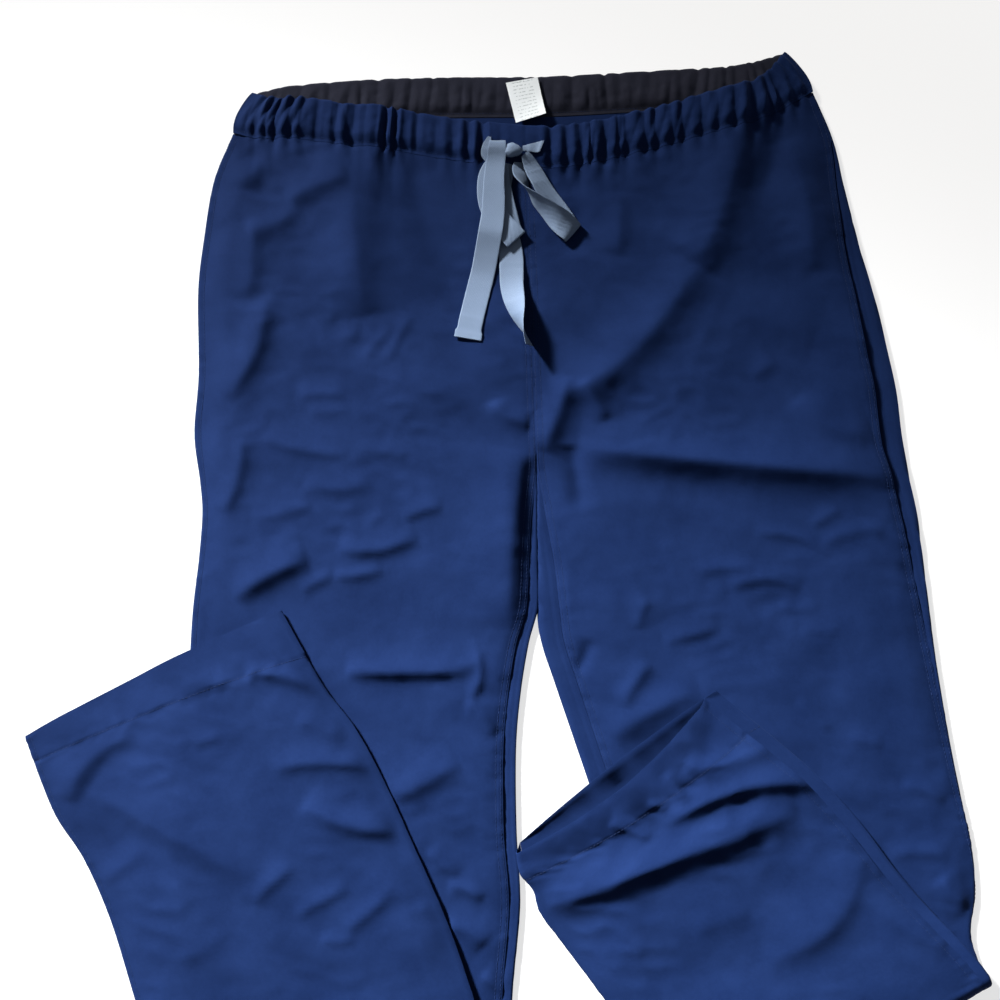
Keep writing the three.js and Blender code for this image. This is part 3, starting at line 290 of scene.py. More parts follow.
TURNED_FOLDS = table(
    CREASE_COLUMNS,
    (-354, -255, -342, -226, -308, -203, 14, 7.5, 3.4),
    (-340, -244, -286, -273, -209, -310, 24, 10, 4.2),
    (-330, -315, -312, -302, -292, -287, 9, 7, 1.8),
    (-272, -170, -247, -167, -218, -172, 10, 8, 1.7),
    (-224, -159, -184, -164, -148, -181, 9, 6, 4.3),
    (-202, -231, -161, -226, -114, -232, 10, 4.5, 2.6),
    (-178, -256, -142, -272, -106, -275, 15, 6, 4.3),
    (-262, -213, -252, -209, -241, -206, 6, 4, 1.4),
    (-212, -328, -199, -314, -181, -301, 8, 4, 1.7),
    (-180, -337, -162, -326, -141, -316, 8, 4.5, 2),
    (-144, -346, -125, -333, -108, -313, 8, 4.5, 2),
    (-160, -352, -148, -354, -136, -351, 5, 3.5, 1.2),
    (-184, -194, -166, -199, -146, -208, 9, 6, 1.4),
    (-265, -367, -248, -359, -222, -344, 10, 7, 1),
    (-90, -327, -82, -333, -76, -338, 5, 3.5, 1),
    (86, -268, 147, -243, 216, -243, 13, 6, 6.2),
    (0, -330, 89, -299, 194, -261, 19, 10, 8.3),
    (104, -219, 133, -223, 188, -209, 8, 8, 3.6),
    (87, -224, 96, -236, 106, -252, 4, 4.5, 2.2),
    (44, -261, 60, -267, 78, -277, 7, 3.5, 2.5),
    (74, -246, 81, -249, 89, -255, 4, 3.5, 1.6),
    (164, -366, 213, -343, 240, -293, 22, 9, 3.4),
    (238, -317, 264, -343, 298, -360, 12, 6, 2.2),
    (56, -363, 66, -361, 76, -364, 5, 4, 0.8),
    (112, -347, 132, -340, 154, -334, 12, 7, 1.3),
)

# The drawstring's stretches. x and y give the middle of the tape, lift its height over the cloth,
# heading the direction of its width, slope how steeply its width stands, wide its spread share.
TAPE_COLUMNS = "x y lift heading slope wide"
LEAD_RIGHT = table(
    TAPE_COLUMNS,
    (-38.4, 289.5, 0, -20, 0, 0.14),
    (-40.6, 282.0, 0, -22, 0, 0.38),
    (-41.2, 274.5, 0, 12, 0, 0.42),
    (-37.0, 270.5, 0, 70, 0, 0.34),
    (-29.5, 271.6, 0, 95, 0, 0.26),
)
LEAD_LEFT = table(
    TAPE_COLUMNS,
    (5.6, 280.6, 0, 70, 0, 0.56),
    (0.6, 280.0, 0, 80, 0, 0.48),
    (-5.2, 279.4, 0.2, 85, 0, 0.34),
    (-10.6, 278.6, 0.6, 88, 0, 0.24),
)
LONG_END = table(
    TAPE_COLUMNS,
    (-31.6, 278.4, 3.0, 0, 0, 0.5),
    (-31.6, 283.0, 4.4, 0, 0, 0.62),
    (-31.8, 281.4, 7.6, 0, 0, 0.7),
    (-32.3, 272.0, 8.0, 0, 0, 0.76),
    (-33.8, 260.0, 8.2, -3, 0, 0.82),
    (-34.7, 247.0, 8.2, -3, 0, 0.88),
    (-34.8, 233.0, 8.2, -2, 0, 0.94),
    (-35.4, 219.0, 8.4, -5, 0, 0.97),
    (-37.4, 204.0, 8.0, -9, 0, 1),
    (-40.3, 188.0, 3.8, -11, 0, 1),
    (-43.4, 172.0, 0.6, -12, 0, 1),
    (-46.9, 157.0, 0.2, -13, 0, 1),
    (-50.3, 142.0, 0.2, -13, 0, 1),
    (-53.4, 127.5, 0.2, -12, 0, 1),
    (-56.0, 112.5, 0.2, -10, 0, 1),
)
SHORT_END = table(
    TAPE_COLUMNS,
    (-21.5, 267.0, 0.2, -12, 0, 0.35),
    (-24.5, 258.0, 0.2, -20, 0, 0.6),
    (-29.0, 246.0, 0.2, -16, 0, 0.9),
    (-30.8, 232.0, 0.2, -2, 0, 1),
    (-28.0, 216.0, 0.2, 12, 0, 1),
    (-23.5, 201.0, 0.2, 12, 0, 1),
    (-20.6, 187.0, 0.3, 4, 0, 1),
    (-20.1, 173.0, 0.4, 0, 4, 1),
    (-19.9, 159.0, 0.5, 2, 12, 0.98),
    (-18.2, 146.0, 0.5, 8, 26, 0.95),
    (-15.6, 134.0, 0.5, 12, 48, 0.9),
    (-12.8, 124.0, 0.5, 20, 74, 0.85),
    (-9.4, 114.0, 0.5, 24, 100, 0.8),
    (-5.8, 104.5, 0.5, 22, 116, 0.76),
)
RIGHT_LOOP = table(
    TAPE_COLUMNS,
    (-28.8, 273.6, 4.6, -38, 0, 0.35),
    (-34.4, 265.5, 5.2, -28, 0, 0.7),
    (-38.0, 254.0, 5.4, -10, 0, 0.95),
    (-38.8, 240.0, 5.4, 0, 0, 1),
    (-36.8, 227.0, 5.4, 20, 0, 1),
    (-30.6, 214.5, 5.4, 38, 0, 1),
    (-22.0, 204.0, 5.3, 43, 0, 1),
    (-17.2, 198.8, 4.6, 43, 0, 1),
    (-16.2, 197.8, 3.6, 43, 0, 1),
    (-17.4, 199.4, 2.7, 42, 0, 1),
    (-21.0, 206.0, 2.3, 34, 0, 1),
    (-25.0, 220.0, 2.2, 14, 3, 1),
    (-28.2, 236.0, 2.2, 8, 4, 0.95),
    (-28.6, 252.0, 2.2, -6, 2, 0.75),
    (-25.6, 266.5, 2.4, -14, 0, 0.35),
)
LEFT_LOOP = table(
    TAPE_COLUMNS,
    (-9.2, 272.4, 3.6, 48, -6, 0.4),
    (-5.4, 266.6, 2.2, 34, -14, 0.62),
    (-0.6, 257.0, 1.0, 28, -24, 0.84),
    (4.6, 246.6, 0.5, 28, -30, 0.95),
    (10.4, 236.0, 0.3, 30, -26, 1),
    (17.2, 225.0, 0.2, 36, -12, 1),
    (24.4, 214.0, 0.3, 44, -2, 1),
    (28.8, 207.4, 0.7, 50, 0, 1),
    (31.2, 204.2, 2.6, 50, 0, 1),
    (28.6, 206.0, 4.8, 50, 4, 1),
    (22.4, 210.6, 3.9, 50, 20, 1),
    (15.0, 216.6, 1.6, 48, 44, 1),
    (7.4, 223.6, 0.6, 44, 64, 0.98),
    (-0.6, 230.8, 0.5, 40, 80, 0.95),
    (-7.0, 239.0, 0.5, 26, 104, 0.92),
    (-11.6, 249.0, 0.6, 12, 130, 0.9),
    (-13.8, 259.0, 0.9, 6, 148, 0.68),
    (-14.6, 267.2, 1.4, 4, 162, 0.36),
)
KNOT = {"x": -19.0, "y": 275.5, "radius_x": 7.5, "radius_y": 6.0, "radius_z": 4.6}
LABEL_CORNERS = {  # x, y and how far the corner curls up
    "top_left": (-24.6, 344.0, 0.0),
    "top_right": (2.6, 349.2, 0.0),
    "foot_left": (-16.2, 306.2, 1.2),
    "foot_right": (9.4, 313.6, 2.6),
}


# Helpers for curves through tables
def mix(a, b, t):
    return a + (b - a) * t


def smooth(t):
    c = np.clip(t, 0, 1)
    return c * c * (3 - 2 * c)


def column_at(rows, key, place):
    """Smooth curve through a table's column, at row numbers that may fall between rows."""
    values = rows[key]
    last = len(values) - 1
    i = np.clip(np.floor(place).astype(int), 0, last - 1)
    t = place - i
    ends = ([2 * values[0] - values[1]], values, [2 * values[-1] - values[-2]])
    padded = np.concatenate(ends)
    before, a, b, after = padded[i], padded[i + 1], padded[i + 2], padded[i + 3]
    slope_a, slope_b = (b - before) / 2, (after - a) / 2
    t2, t3 = t * t, t * t * t
    from_a = (2 * t3 - 3 * t2 + 1) * a + (t3 - 2 * t2 + t) * slope_a
    return from_a + (3 * t2 - 2 * t3) * b + (t3 - t2) * slope_b


def running(steps):
    """0, and then the sum of the steps so far."""
    return np.concatenate([[0], np.cumsum(steps)])


def line_at(rows, key, x):
    """Value of a line given by a table whose x column rises."""
    i = np.clip(np.searchsorted(rows["x"], x, side="left") - 1, 0, len(rows["x"]) - 2)
    t = np.clip((x - rows["x"][i]) / (rows["x"][i + 1] - rows["x"][i]), 0, 1)
    return column_at(rows, key, i + t)


def noise(x, y, size, seed):
    """Smooth noise from about -1 to 1 whose lumps have one size."""
    cells = 64
    turn = np.random.RandomState(seed).uniform(0, 2 * np.pi, (cells, cells))
    px, py = x / size, y / size
    ix, iy = np.floor(px).astype(int), np.floor(py).astype(int)
    fx, fy = px - ix, py - iy

    def corner(i, j):
        angle = turn[(ix + i) % cells, (iy + j) % cells]
        return np.cos(angle) * (fx - i) + np.sin(angle) * (fy - j)

    low = mix(corner(0, 0), corner(1, 0), smooth(fx))
    high = mix(corner(0, 1), corner(1, 1), smooth(fx))
    return 1.6 * mix(low, high, smooth(fy))


CREASE_STEPS = 10
CREASE_REACH = 2.4  # how many of its lengths of fall a crease still matters at
CREASE_POWER = 1.6  # 2 gives round crests, 1 sharp ones


def crease_height(creases, x, y):
    """Height of a set of soft troughs and ridges at each place."""
    height = np.zeros(np.shape(x))
    share = np.linspace(0, 1, CREASE_STEPS + 1)
    for k in range(len(creases["x0"])):
        row = {key: values[k] for key, values in creases.items()}
        bend_x = 2 * row["x1"] - (row["x0"] + row["x2"]) / 2
        bend_y = 2 * row["y1"] - (row["y0"] + row["y2"]) / 2
        line_x = (1 - share) ** 2 * row["x0"] + 2 * share * (1 - share) * bend_x + share**2 * row["x2"]
        line_y = (1 - share) ** 2 * row["y0"] + 2 * share * (1 - share) * bend_y + share**2 * row["y2"]
        reach = CREASE_REACH * max(row["left"], row["right"])
        near = (x > line_x.min() - reach) & (x < line_x.max() + reach)
        near &= (y > line_y.min() - reach) & (y < line_y.max() + reach)
        if not near.any():
            continue
        px, py = x[near], y[near]
        nearest = np.full(px.shape, np.inf)
        along = np.zeros(px.shape)
        on_left = np.zeros(px.shape, bool)
        for i in range(CREASE_STEPS):
            dx, dy = line_x[i + 1] - line_x[i], line_y[i + 1] - line_y[i]
            t = np.clip(((px - line_x[i]) * dx + (py - line_y[i]) * dy) / (dx * dx + dy * dy), 0, 1)
            distance = np.hypot(px - line_x[i] - t * dx, py - line_y[i] - t * dy)
            closer = distance < nearest
            nearest = np.where(closer, distance, nearest)
            along = np.where(closer, (i + t) / CREASE_STEPS, along)
            on_left = np.where(closer, dx * (py - line_y[i]) > dy * (px - line_x[i]), on_left)
        taper = 1 - (2 * along - 1) ** 4
        fall = np.where(on_left, row["left"], row["right"])
        height[near] += row["rise"] * taper * np.exp(-((nearest / fall) ** CREASE_POWER))
    return height


def share_inside(corners, x, y, ramp):
    """0 outside an outline, rising to 1 inside it over a ramp's length."""
    inside = np.zeros(np.shape(x), bool)
    nearest = np.full(np.shape(x), np.inf)
    for (ax, ay), (bx, by) in zip(corners, np.roll(corners, -1, axis=0)):
        dx, dy = bx - ax, by - ay
        t = np.clip(((x - ax) * dx + (y - ay) * dy) / (dx * dx + dy * dy), 0, 1)
        nearest = np.minimum(nearest, np.hypot(x - ax - t * dx, y - ay - t * dy))
        if dy != 0:
            inside ^= ((ay > y) != (by > y)) & (x < ax + (y - ay) * dx / dy)
    return np.where(inside, smooth(nearest / ramp), 0)


# Legs
def places_along(rows):
    """Row numbers along a table's middle line and the length to each of them."""
    places = np.linspace(0, len(rows["ox"]) - 1, 24 * (len(rows["ox"]) - 1) + 1)
    x = (column_at(rows, "ox", places) + column_at(rows, "ix", places)) / 2
    y = (column_at(rows, "oy", places) + column_at(rows, "iy", places)) / 2
    return places, running(np.hypot(np.diff(x), np.diff(y)))


def spaced(length, cell, fine=()):
    """Lengths from 0 on, a cell apart, and closer beside each length in fine."""
    places = np.linspace(0, length, round(length / cell) + 1)
    for middle in fine:
        near = middle + np.arange(-5.0, 5.5)
        places = places[(np.abs(places - middle) > 6) | (places == 0) | (places == length)]
        places = np.concatenate([places, near[(near > 0.4) & (near < length - 0.4)]])
    return np.unique(places)


STATION_KEYS = "ox oy ix iy rise back_rise side inseam rest bow".split()


def stations_of(leg, before_fold, after_fold):
    """Rows along a leg, closer or wider apart before its fold and after it.

    There is one array for each measure: its edges, turn, seams and the length so far.
    """
    parts = []
    run = 0.0

    def add(rows, lengths, **extra):
        places, total = places_along(rows)
        at = np.interp(lengths, total, places)
        part = {key: column_at(rows, key, at) if key in rows else np.zeros(len(at)) for key in STATION_KEYS}
        part.update(turn=np.zeros(len(at)), settled=np.zeros(len(at)), open=np.zeros(len(at)))
        part.update(top_fade=np.zeros(len(at)), hem=np.full(len(at), 999.0), run=run + lengths)
        part.update(extra)
        parts.append(part)

    body = places_along(leg["body"])[1][-1]
    lengths = spaced(body, before_fold, fine=(0.0,))[:-1]
    closing = smooth((body - lengths) / CROTCH_BLEND)
    add(leg["body"], lengths, open=closing, top_fade=1 - smooth(lengths / WAIST_FADE))
    run += body
    thigh = places_along(leg["thigh"])[1][-1]
    add(leg["thigh"], spaced(thigh, before_fold))
    run += thigh
    turn = np.pi * np.arange(1, FOLD_ROWS) / FOLD_ROWS
    add(leg["turned"], np.zeros(len(turn)), turn=turn, run=run + FOLD_RADIUS * turn)
    run += np.pi * FOLD_RADIUS
    turned = places_along(leg["turned"])[1][-1]
    lengths = spaced(turned, after_fold, fine=(turned, turned - HEM_DEPTH))
    add(leg["turned"], lengths, turn=np.full(len(lengths), np.pi), settled=smooth(lengths / SETTLE_LENGTH),
        hem=turned - lengths)
    rows = {key: np.concatenate([part[key] for part in parts])[:, None] for key in parts[0]}
    rows["width"] = np.hypot(rows["ix"] - rows["ox"], rows["iy"] - rows["oy"])
    return rows


def support_height(leg, rest, x, y):
    """Height of what a turned-up leg lies on: its thigh, and then what lies beside the thigh."""
    edge_x, edge_y = ("ox", "oy") if leg["overhang"] == "outer" else ("ix", "iy")
    ex, ey = leg["thigh"][edge_x], leg["thigh"][edge_y]
    i = (y[..., None] < ey[1:-1]).sum(axis=-1)
    t = np.clip((y - ey[i]) / (ey[i + 1] - ey[i]), 0, 1)
    beyond = mix(ex[i], ex[i + 1], t) - x
    return mix(TURNED_LIFT, rest, smooth(beyond / OVERHANG_FALL))


def place_on(leg, rows, across, height, on_back):
    """Places in a leg. height is measured in the flat tube, whose back is at 0."""
    share = across / rows["width"]
    x = mix(rows["ox"], rows["ix"], share)
    y = mix(rows["oy"], rows["iy"], share)
    lower = smooth((across - EDGE_RAMP) / (rows["width"] - EDGE_RAMP))
    y = y + np.where(on_back, rows["open"] * rows["back_rise"] * lower, 0)
    top = {key: leg["body"][key][0] for key in leg["body"]}
    seam_x = mix(top["ox"], top["ix"], share)
    chord = mix(top["oy"], top["iy"], share) + np.where(on_back, top["back_rise"] * lower, 0)
    waist = np.where(on_back, line_at(BACK_WAIST, "y", seam_x), line_at(FRONT_WAIST, "y", seam_x))
    y = y + rows["top_fade"] * (waist - SEAM_GAP - chord)
    fold = {key: leg["turned"][key][0] for key in leg["turned"]}
    length = math.hypot(fold["ix"] - fold["ox"], fold["iy"] - fold["oy"])
    side = 1 if fold["ix"] > fold["ox"] else -1
    normal = (side * (fold["iy"] - fold["oy"]) / length, -side * (fold["ix"] - fold["ox"]) / length)
    offset = height - EDGE_RADIUS
    bow = 4 * share * (1 - share) * rows["bow"]
    reach = np.where(rows["turn"] > 0, (FOLD_RADIUS - offset) * np.sin(rows["turn"]) - bow, 0)
    x = x + normal[0] * reach
    y = y + normal[1] * reach
    bent = EDGE_RADIUS + FOLD_RADIUS - (FOLD_RADIUS - offset) * np.cos(rows["turn"])
    bent = bent - rows["settled"] * (2 * FOLD_RADIUS - support_height(leg, rows["rest"], x, y))
    z = np.where(rows["turn"] > 0, bent, height)
    touching = np.exp(-((rows["ix"] - CENTRE_LEAN * np.maximum(rows["iy"], 0)) ** 2)) * (rows["turn"] == 0)
    towards = np.where(rows["ix"] > rows["ox"], 1, -1)
    pressed = mix(LEGS_CLOSE, SEAM_CLOSE, rows["open"]) * touching
    x = x + towards * pressed * smooth(1 - (rows["width"] - across) / TOUCH_RAMP)
    return np.stack([x, y, z], axis=-1)


def tube_places(leg, rows, q, out):
    """Places at distance q round the flattened tube, over the front first, and out from its outside."""
    quarter = np.pi * EDGE_RADIUS / 2
    width = rows["width"]
    flat = width - 2 * EDGE_RADIUS
    around = 2 * (2 * quarter + flat)
    s = (q + quarter) % around
    radius = EDGE_RADIUS + out
    outer_turn = s / EDGE_RADIUS
    inner_turn = np.pi - (s - 2 * quarter - flat) / EDGE_RADIUS
    regions = [s < 2 * quarter, s < 2 * quarter + flat, s < 4 * quarter + flat]
    across = np.select(
        regions,
        [EDGE_RADIUS - radius * np.sin(outer_turn), EDGE_RADIUS + s - 2 * quarter,
         width - EDGE_RADIUS + radius * np.sin(inner_turn)],
        width - EDGE_RADIUS - (s - 4 * quarter - flat),
    )
    height = np.select(
        regions,
        [EDGE_RADIUS - radius * np.cos(outer_turn), 2 * EDGE_RADIUS + out,
         EDGE_RADIUS - radius * np.cos(inner_turn)],
        -out,
    )
    on_back = s >= 4 * quarter + flat
    return place_on(leg, rows, across, height, on_back), across


def seam_columns(start, end, count):
    """Distances across a row, close together beside both seams and even between them."""
    edge = SEAM_OFFSETS
    middle = np.arange(1, count) / count
    inner = mix(start + edge[-1], end - edge[-1], middle)
    return np.concatenate([start + edge, inner, end - edge[::-1]], axis=1)


# Gathers of the two waistbands: the front band's pleats run on a little way into the panels below.
# slant is how far a pleat leans to the right up the band, and up how much of the band's height it has.
GATHER_COLUMNS = "x width depth slant reach up"
FRONT_GATHERS = table(
    GATHER_COLUMNS,
    (-243, 2.0, 0.6, 10, 14, 1.2), (-232, 2.2, 1.0, 14, 22, 1.3), (-224, 1.7, 0.7, 12, 10, 1.3),
    (-215, 2.2, 1.0, 14, 26, 1.3), (-203, 2.0, 0.8, 12, 16, 1.2), (-186, 1.6, 0.3, 2, 8, 0.8),
    (-172, 2.0, 0.7, -4, 12, 1.3), (-160, 3.6, 1.1, -10, 46, 1.3), (-147, 2.2, 0.5, -3, 20, 0.7),
    (-127, 1.7, 0.9, 3, 34, 1.3), (-120, 1.6, 1.0, 2, 26, 1.3), (-101, 1.8, 0.8, -1, 14, 1.2),
    (-85, 2.0, 0.4, 0, 10, 0.8), (-70, 2.4, 0.7, -2, 18, 1.0), (-57, 2.2, 0.8, 2, 24, 1.3),
    (-45, 2.0, 0.9, 3, 12, 1.3), (-30, 2.0, 0.15, 0, 8, 1.0), (-8, 2.0, 0.1, 0, 8, 1.0),
    (14, 2.2, 0.8, 0, 20, 1.3), (28, 1.7, 0.5, 1, 14, 1.1), (42, 2.0, 0.9, 5, 30, 1.3),
    (50, 1.6, 0.7, 4, 12, 1.3), (61, 2.6, 0.9, 4, 36, 1.1), (72, 1.6, 0.7, 3, 16, 1.3),
    (84, 2.8, 1.0, 12, 26, 1.2), (98, 1.8, 0.5, 8, 12, 1.3), (108, 2.0, 0.8, 9, 14, 1.2),
    (121, 1.8, 0.6, 8, 10, 1.3), (131, 2.4, 0.8, 10, 12, 1.1), (146, 2.0, 0.5, 8, 10, 1.2),
    (158, 1.8, 0.6, 6, 8, 0.9), (172, 2.2, 0.7, 4, 10, 1.3), (187, 3.6, 1.1, 3, 50, 1.3),
    (199, 2.0, 0.8, -4, 22, 1.3), (208, 2.0, 0.9, -8, 16, 1.3), (219, 2.2, 0.8, -12, 18, 1.3),
    (230, 1.8, 0.7, -14, 12, 1.2),
)


def make_gathers(seed, first, last):
    """Places, widths, depths, slants and lengths of a band's pinched pleats, unevenly spaced."""
    random = np.random.RandomState(seed)
    rows = []
    x = first + 5
    while x < last - 4:
        depth, width, slant = random.uniform(0.4, 1.1), random.uniform(1.5, 3.0), random.uniform(-4, 6)
        rows.append((x, width, depth, slant, random.uniform(9, 48), random.uniform(0.6, 1.4)))
        x += random.uniform(6.5, 17)
    return table(GATHER_COLUMNS, *rows)


BACK_GATHERS = make_gathers(11, -257, 239)


def pleats(gathers, x, level, below):
    """Share by which the pleats pinch the cloth at one place: in the band, or some way below it."""
    pinch = np.zeros(np.broadcast(x, level, below).shape)
    for k in range(len(gathers["x"])):
        middle = gathers["x"][k] + gathers["slant"][k] * (level - 0.5)
        wide = gathers["width"][k] * (1.3 + 0.06 * below)
        fade = np.exp(-below / gathers["reach"][k]) * np.exp(-((level / gathers["up"][k]) ** 4))
        off = np.abs(x - middle) / wide
        shape = np.exp(-(off**1.5)) - 0.3 * np.exp(-(((off - 2.3) / 0.9) ** 2))
        pinch = pinch + gathers["depth"][k] * fade * shape
    return np.clip(pinch, -0.35, 1.15)


# Panels
def floor_softly(height, lowest):
    """Heights that level out softly above a lowest one."""
    return lowest + 0.5 * np.logaddexp(0, (height - lowest) / 0.5)


def seam_dips(distance, run, seed):
    """Small troughs of a seam and its topstitching, puckered along their length."""
    pucker = noise(run, 0.25 * distance, PUCKER_SIZE, seed)
    uneven = 0.6 + 0.4 * noise(run, 0 * run + 7, 40, seed + 20)
    dip = -SEAM_DIP["depth"] * np.exp(-((distance / SEAM_DIP["width"]) ** 2))
    from_row = (distance - TOPSTITCH) / ROW_DIP["width"]
    dip = dip - (ROW_DIP["depth"] + 0.15 * pucker) * np.exp(-(from_row**2))
    return dip + PUCKER_HEIGHT * uneven * pucker * np.exp(-(((distance - 3.5) / 5.5) ** 2))


def undulation(x, y, seed):
    """The soft unevenness of cloth that was folded and then spread out."""
    height = 1.5 * noise(x, y, 75, seed)
    height = height + 1.0 * noise(0.7 * x + 0.4 * y, y, 30, seed + 1)
    creased = np.clip(noise(x, y, 80, seed + 2) + 0.3, 0, 1)
    ridged = 1 - 2 * np.abs(noise(0.6 * x - 0.3 * y, y + 0.25 * x, 16, seed + 3))
    return height + 0.75 * creased * ridged + 0.15 * noise(x, y, 9, seed + 4)


def under_turned_leg(leg, x, y):
    """1 where a turned-up leg lies on the cloth, and 0 where the cloth is in view."""
    turned = leg["turned"]
    outer = np.stack([turned["ox"], turned["oy"]], axis=-1)
    inner = np.stack([turned["ix"], turned["iy"]], axis=-1)
    return share_inside(np.concatenate([outer, inner[::-1]]), x, y, COVER_RAMP)


def panel_detail(leg, rows, x, y, across, turned):
    """How far the cloth that shows stands out from the flat tube."""
    edges = []
    for ramp in (EDGE_RAMP, CREASE_RAMP):
        inner = np.maximum(rows["open"], smooth((rows["width"] - across) / ramp))
        edges.append(smooth(across / ramp) * inner)
    lying = np.where((rows["turn"] > 0) & (rows["turn"] < np.pi), 0, 1)
    if turned:
        relief = crease_height(TURNED_FOLDS, x, y) + undulation(x, y, 20)
    else:
        relief = crease_height(FRONT_FOLDS, x, y) + crease_height(SMALL_CREASES, x, y)
        relief = relief + undulation(x, y, 30)
        below = np.maximum(rows["run"], 0)
        relief = relief - 3.2 * pleats(FRONT_GATHERS, x, 0, below) * smooth((120 - below) / 60)
        relief = relief * (1 - under_turned_leg(leg, x, y))
    height = rows["rise"] + lying * relief * edges[1] / np.maximum(edges[0], 0.02)
    lowest = mix(WAIST_TROUGH, LOWEST_TROUGH, smooth(rows["run"] / WAIST_REACH))
    return edges[0] * floor_softly(height, lowest)


def hem_relief(rows, across):
    """The doubled cloth of a hem, and the puckered trough of the stitching that holds it."""
    folded = 0.35 * smooth((HEM_DEPTH - rows["hem"]) / 2.4)
    pucker = noise(across + 0.3 * rows["hem"], rows["hem"], 8, 61)
    stitched = (-0.3 + 0.25 * pucker) * np.exp(-(((rows["hem"] - HEM_DEPTH + HEM_STITCH) / 1.2) ** 2))
    rippled = 0.5 * pucker * np.exp(-(((rows["hem"] - HEM_DEPTH + HEM_STITCH) / 9) ** 2))
    return folded + stitched + rippled


def front_panel(leg):
    """Outer and inner grids of a leg's front panel, and each point's place in the flat cloth."""
    rows = stations_of(leg, CELL, HIDDEN_CELL)
    quarter = np.pi * EDGE_RADIUS / 2
    inner_edge = 2 * quarter + rows["width"] - 2 * EDGE_RADIUS
    start = rows["side"] + SEAM_TOUCH
    count = round(float(np.mean(rows["width"])) / CELL)
    open_end = rows["width"] - SEAM_TOUCH
    tube_end = inner_edge - rows["inseam"] - SEAM_TOUCH
    grids = []
    for depth in (0.0, CLOTH):
        versions = []
        for is_open, end in ((True, open_end), (False, tube_end)):
            q = seam_columns(start, end, count)
            open_share = np.where(rows["open"] > 0, 1.0, 0.0) if is_open else rows["open"] * 0
            flat, across = tube_places(leg, rows, q, 0 * q)
            as_made = dict(rows, open=open_share)
            out = panel_detail(leg, as_made, flat[..., 0], flat[..., 1], across, False)
            out = np.where(rows["turn"] > 0, 0, out)
            near_side, near_end = q - start, end - q
            out = out + seam_dips(near_side, rows["run"] + 0 * q, 51)
            out = out + seam_dips(near_end, rows["run"] + 0 * q, 52)
            out = out + hem_relief(rows, across)
            out = out * np.where((rows["turn"] > 0), 0.15, 1.0)
            if is_open:
                height = 2 * EDGE_RADIUS + out - depth
                opened = place_on(leg, rows, q, height, np.zeros(q.shape, bool))
                rounded, _ = tube_places(leg, rows, q, out - depth)
                flat_part = (q >= quarter)[..., None]
                versions.append(np.where(flat_part, opened, rounded))
            else:
                versions.append(tube_places(leg, rows, q, out - depth)[0])
        grid = mix(versions[1], versions[0], rows["open"][..., None])
        grids.append(raised_rim(leg, grid, rows, LOWER_RIM))
    q = seam_columns(start, tube_end, count)
    return grids[0], grids[1], np.stack([q, rows["run"] + 0 * q], axis=-1), rows


def back_panel(leg):
    """Grids of a leg's back panel: from the inseam under the leg to the side seam."""
    rows = stations_of(leg, HIDDEN_CELL, CELL)
    quarter = np.pi * EDGE_RADIUS / 2
    inner_edge = 2 * quarter + rows["width"] - 2 * EDGE_RADIUS
    end = 2 * inner_edge + rows["side"] - SEAM_TOUCH
    count = round(float(np.mean(rows["width"])) / CELL)
    open_start = inner_edge + quarter - EDGE_RADIUS + SEAM_TOUCH
    tube_start = inner_edge - rows["inseam"] + SEAM_TOUCH
    flat_end = 2 * inner_edge - quarter
    turned = rows["turn"] > 0
    grids = []
    for depth in (0.0, CLOTH):
        versions = []
        for is_open, start in ((True, open_start), (False, tube_start)):
            q = seam_columns(start, end, count)
            flat, across = tube_places(leg, rows, q, 0 * q)
            if is_open:
                across = np.where(q > flat_end, across, EDGE_RADIUS + flat_end - q)
            as_tube = dict(rows, open=0 * rows["open"])
            out = panel_detail(leg, as_tube, flat[..., 0], flat[..., 1], across, True)
            wraps = (q < inner_edge) | (q > 2 * inner_edge)
            out = np.where(turned, out, 0)
            run = rows["run"] + 0 * q
            relief = seam_dips(q - start, run, 53) + seam_dips(end - q, run, 54)
            relief = relief + hem_relief(rows, across)
            out = out + np.where(turned | wraps, relief, 0)
            if is_open:
                opened = place_on(leg, rows, across, depth - out, np.ones(q.shape, bool))
                rounded, _ = tube_places(leg, rows, q, out - depth)
                flat_part = (q <= flat_end)[..., None]
                versions.append(np.where(flat_part, opened, rounded))
            else:
                versions.append(tube_places(leg, rows, q, out - depth)[0])
        grid = mix(versions[1], versions[0], rows["open"][..., None])
        grids.append(raised_rim(leg, pulled_back(leg, grid, rows), rows, UPPER_RIM))
    q = seam_columns(tube_start, end, count)
    return grids[0], grids[1], np.stack([q, rows["run"] + 0 * q], axis=-1), rows


def pulled_back(leg, grid, rows):
    """The upper rim of a slightly open hem lies a little further back than the lower one."""
    last = {key: leg["turned"][key] for key in ("ox", "oy", "ix", "iy")}
    away = np.array([
        last["ox"][-2] + last["ix"][-2] - last["ox"][-1] - last["ix"][-1],
        last["oy"][-2] + last["iy"][-2] - last["oy"][-1] - last["iy"][-1],
        0,
    ])
    away = away / np.linalg.norm(away)
    reach = np.clip(1 - rows["hem"] / MOUTH_LENGTH, 0, 1)
    share = np.sin(np.pi * np.linspace(0, 1, grid.shape[1]))[None, :]
    return grid + leg["mouth"] * (reach * share)[..., None] * away


def raised_rim(leg, grid, rows, rim):
    """The rims of an open hem stand up a little, and unevenly."""
    share = np.sin(np.pi * np.linspace(0, 1, grid.shape[1]))[None, :]
    uneven = 1 + 0.5 * noise(grid[..., 0] + grid[..., 1], 0 * grid[..., 0], 24, 81)
    reach = smooth(1 - rows["hem"] / (0.1 + rim["length"] * share))
    raised = grid.copy()
    raised[..., 2] += (leg["mouth"] > 0) * rim["lift"] * share * uneven * reach
    return raised


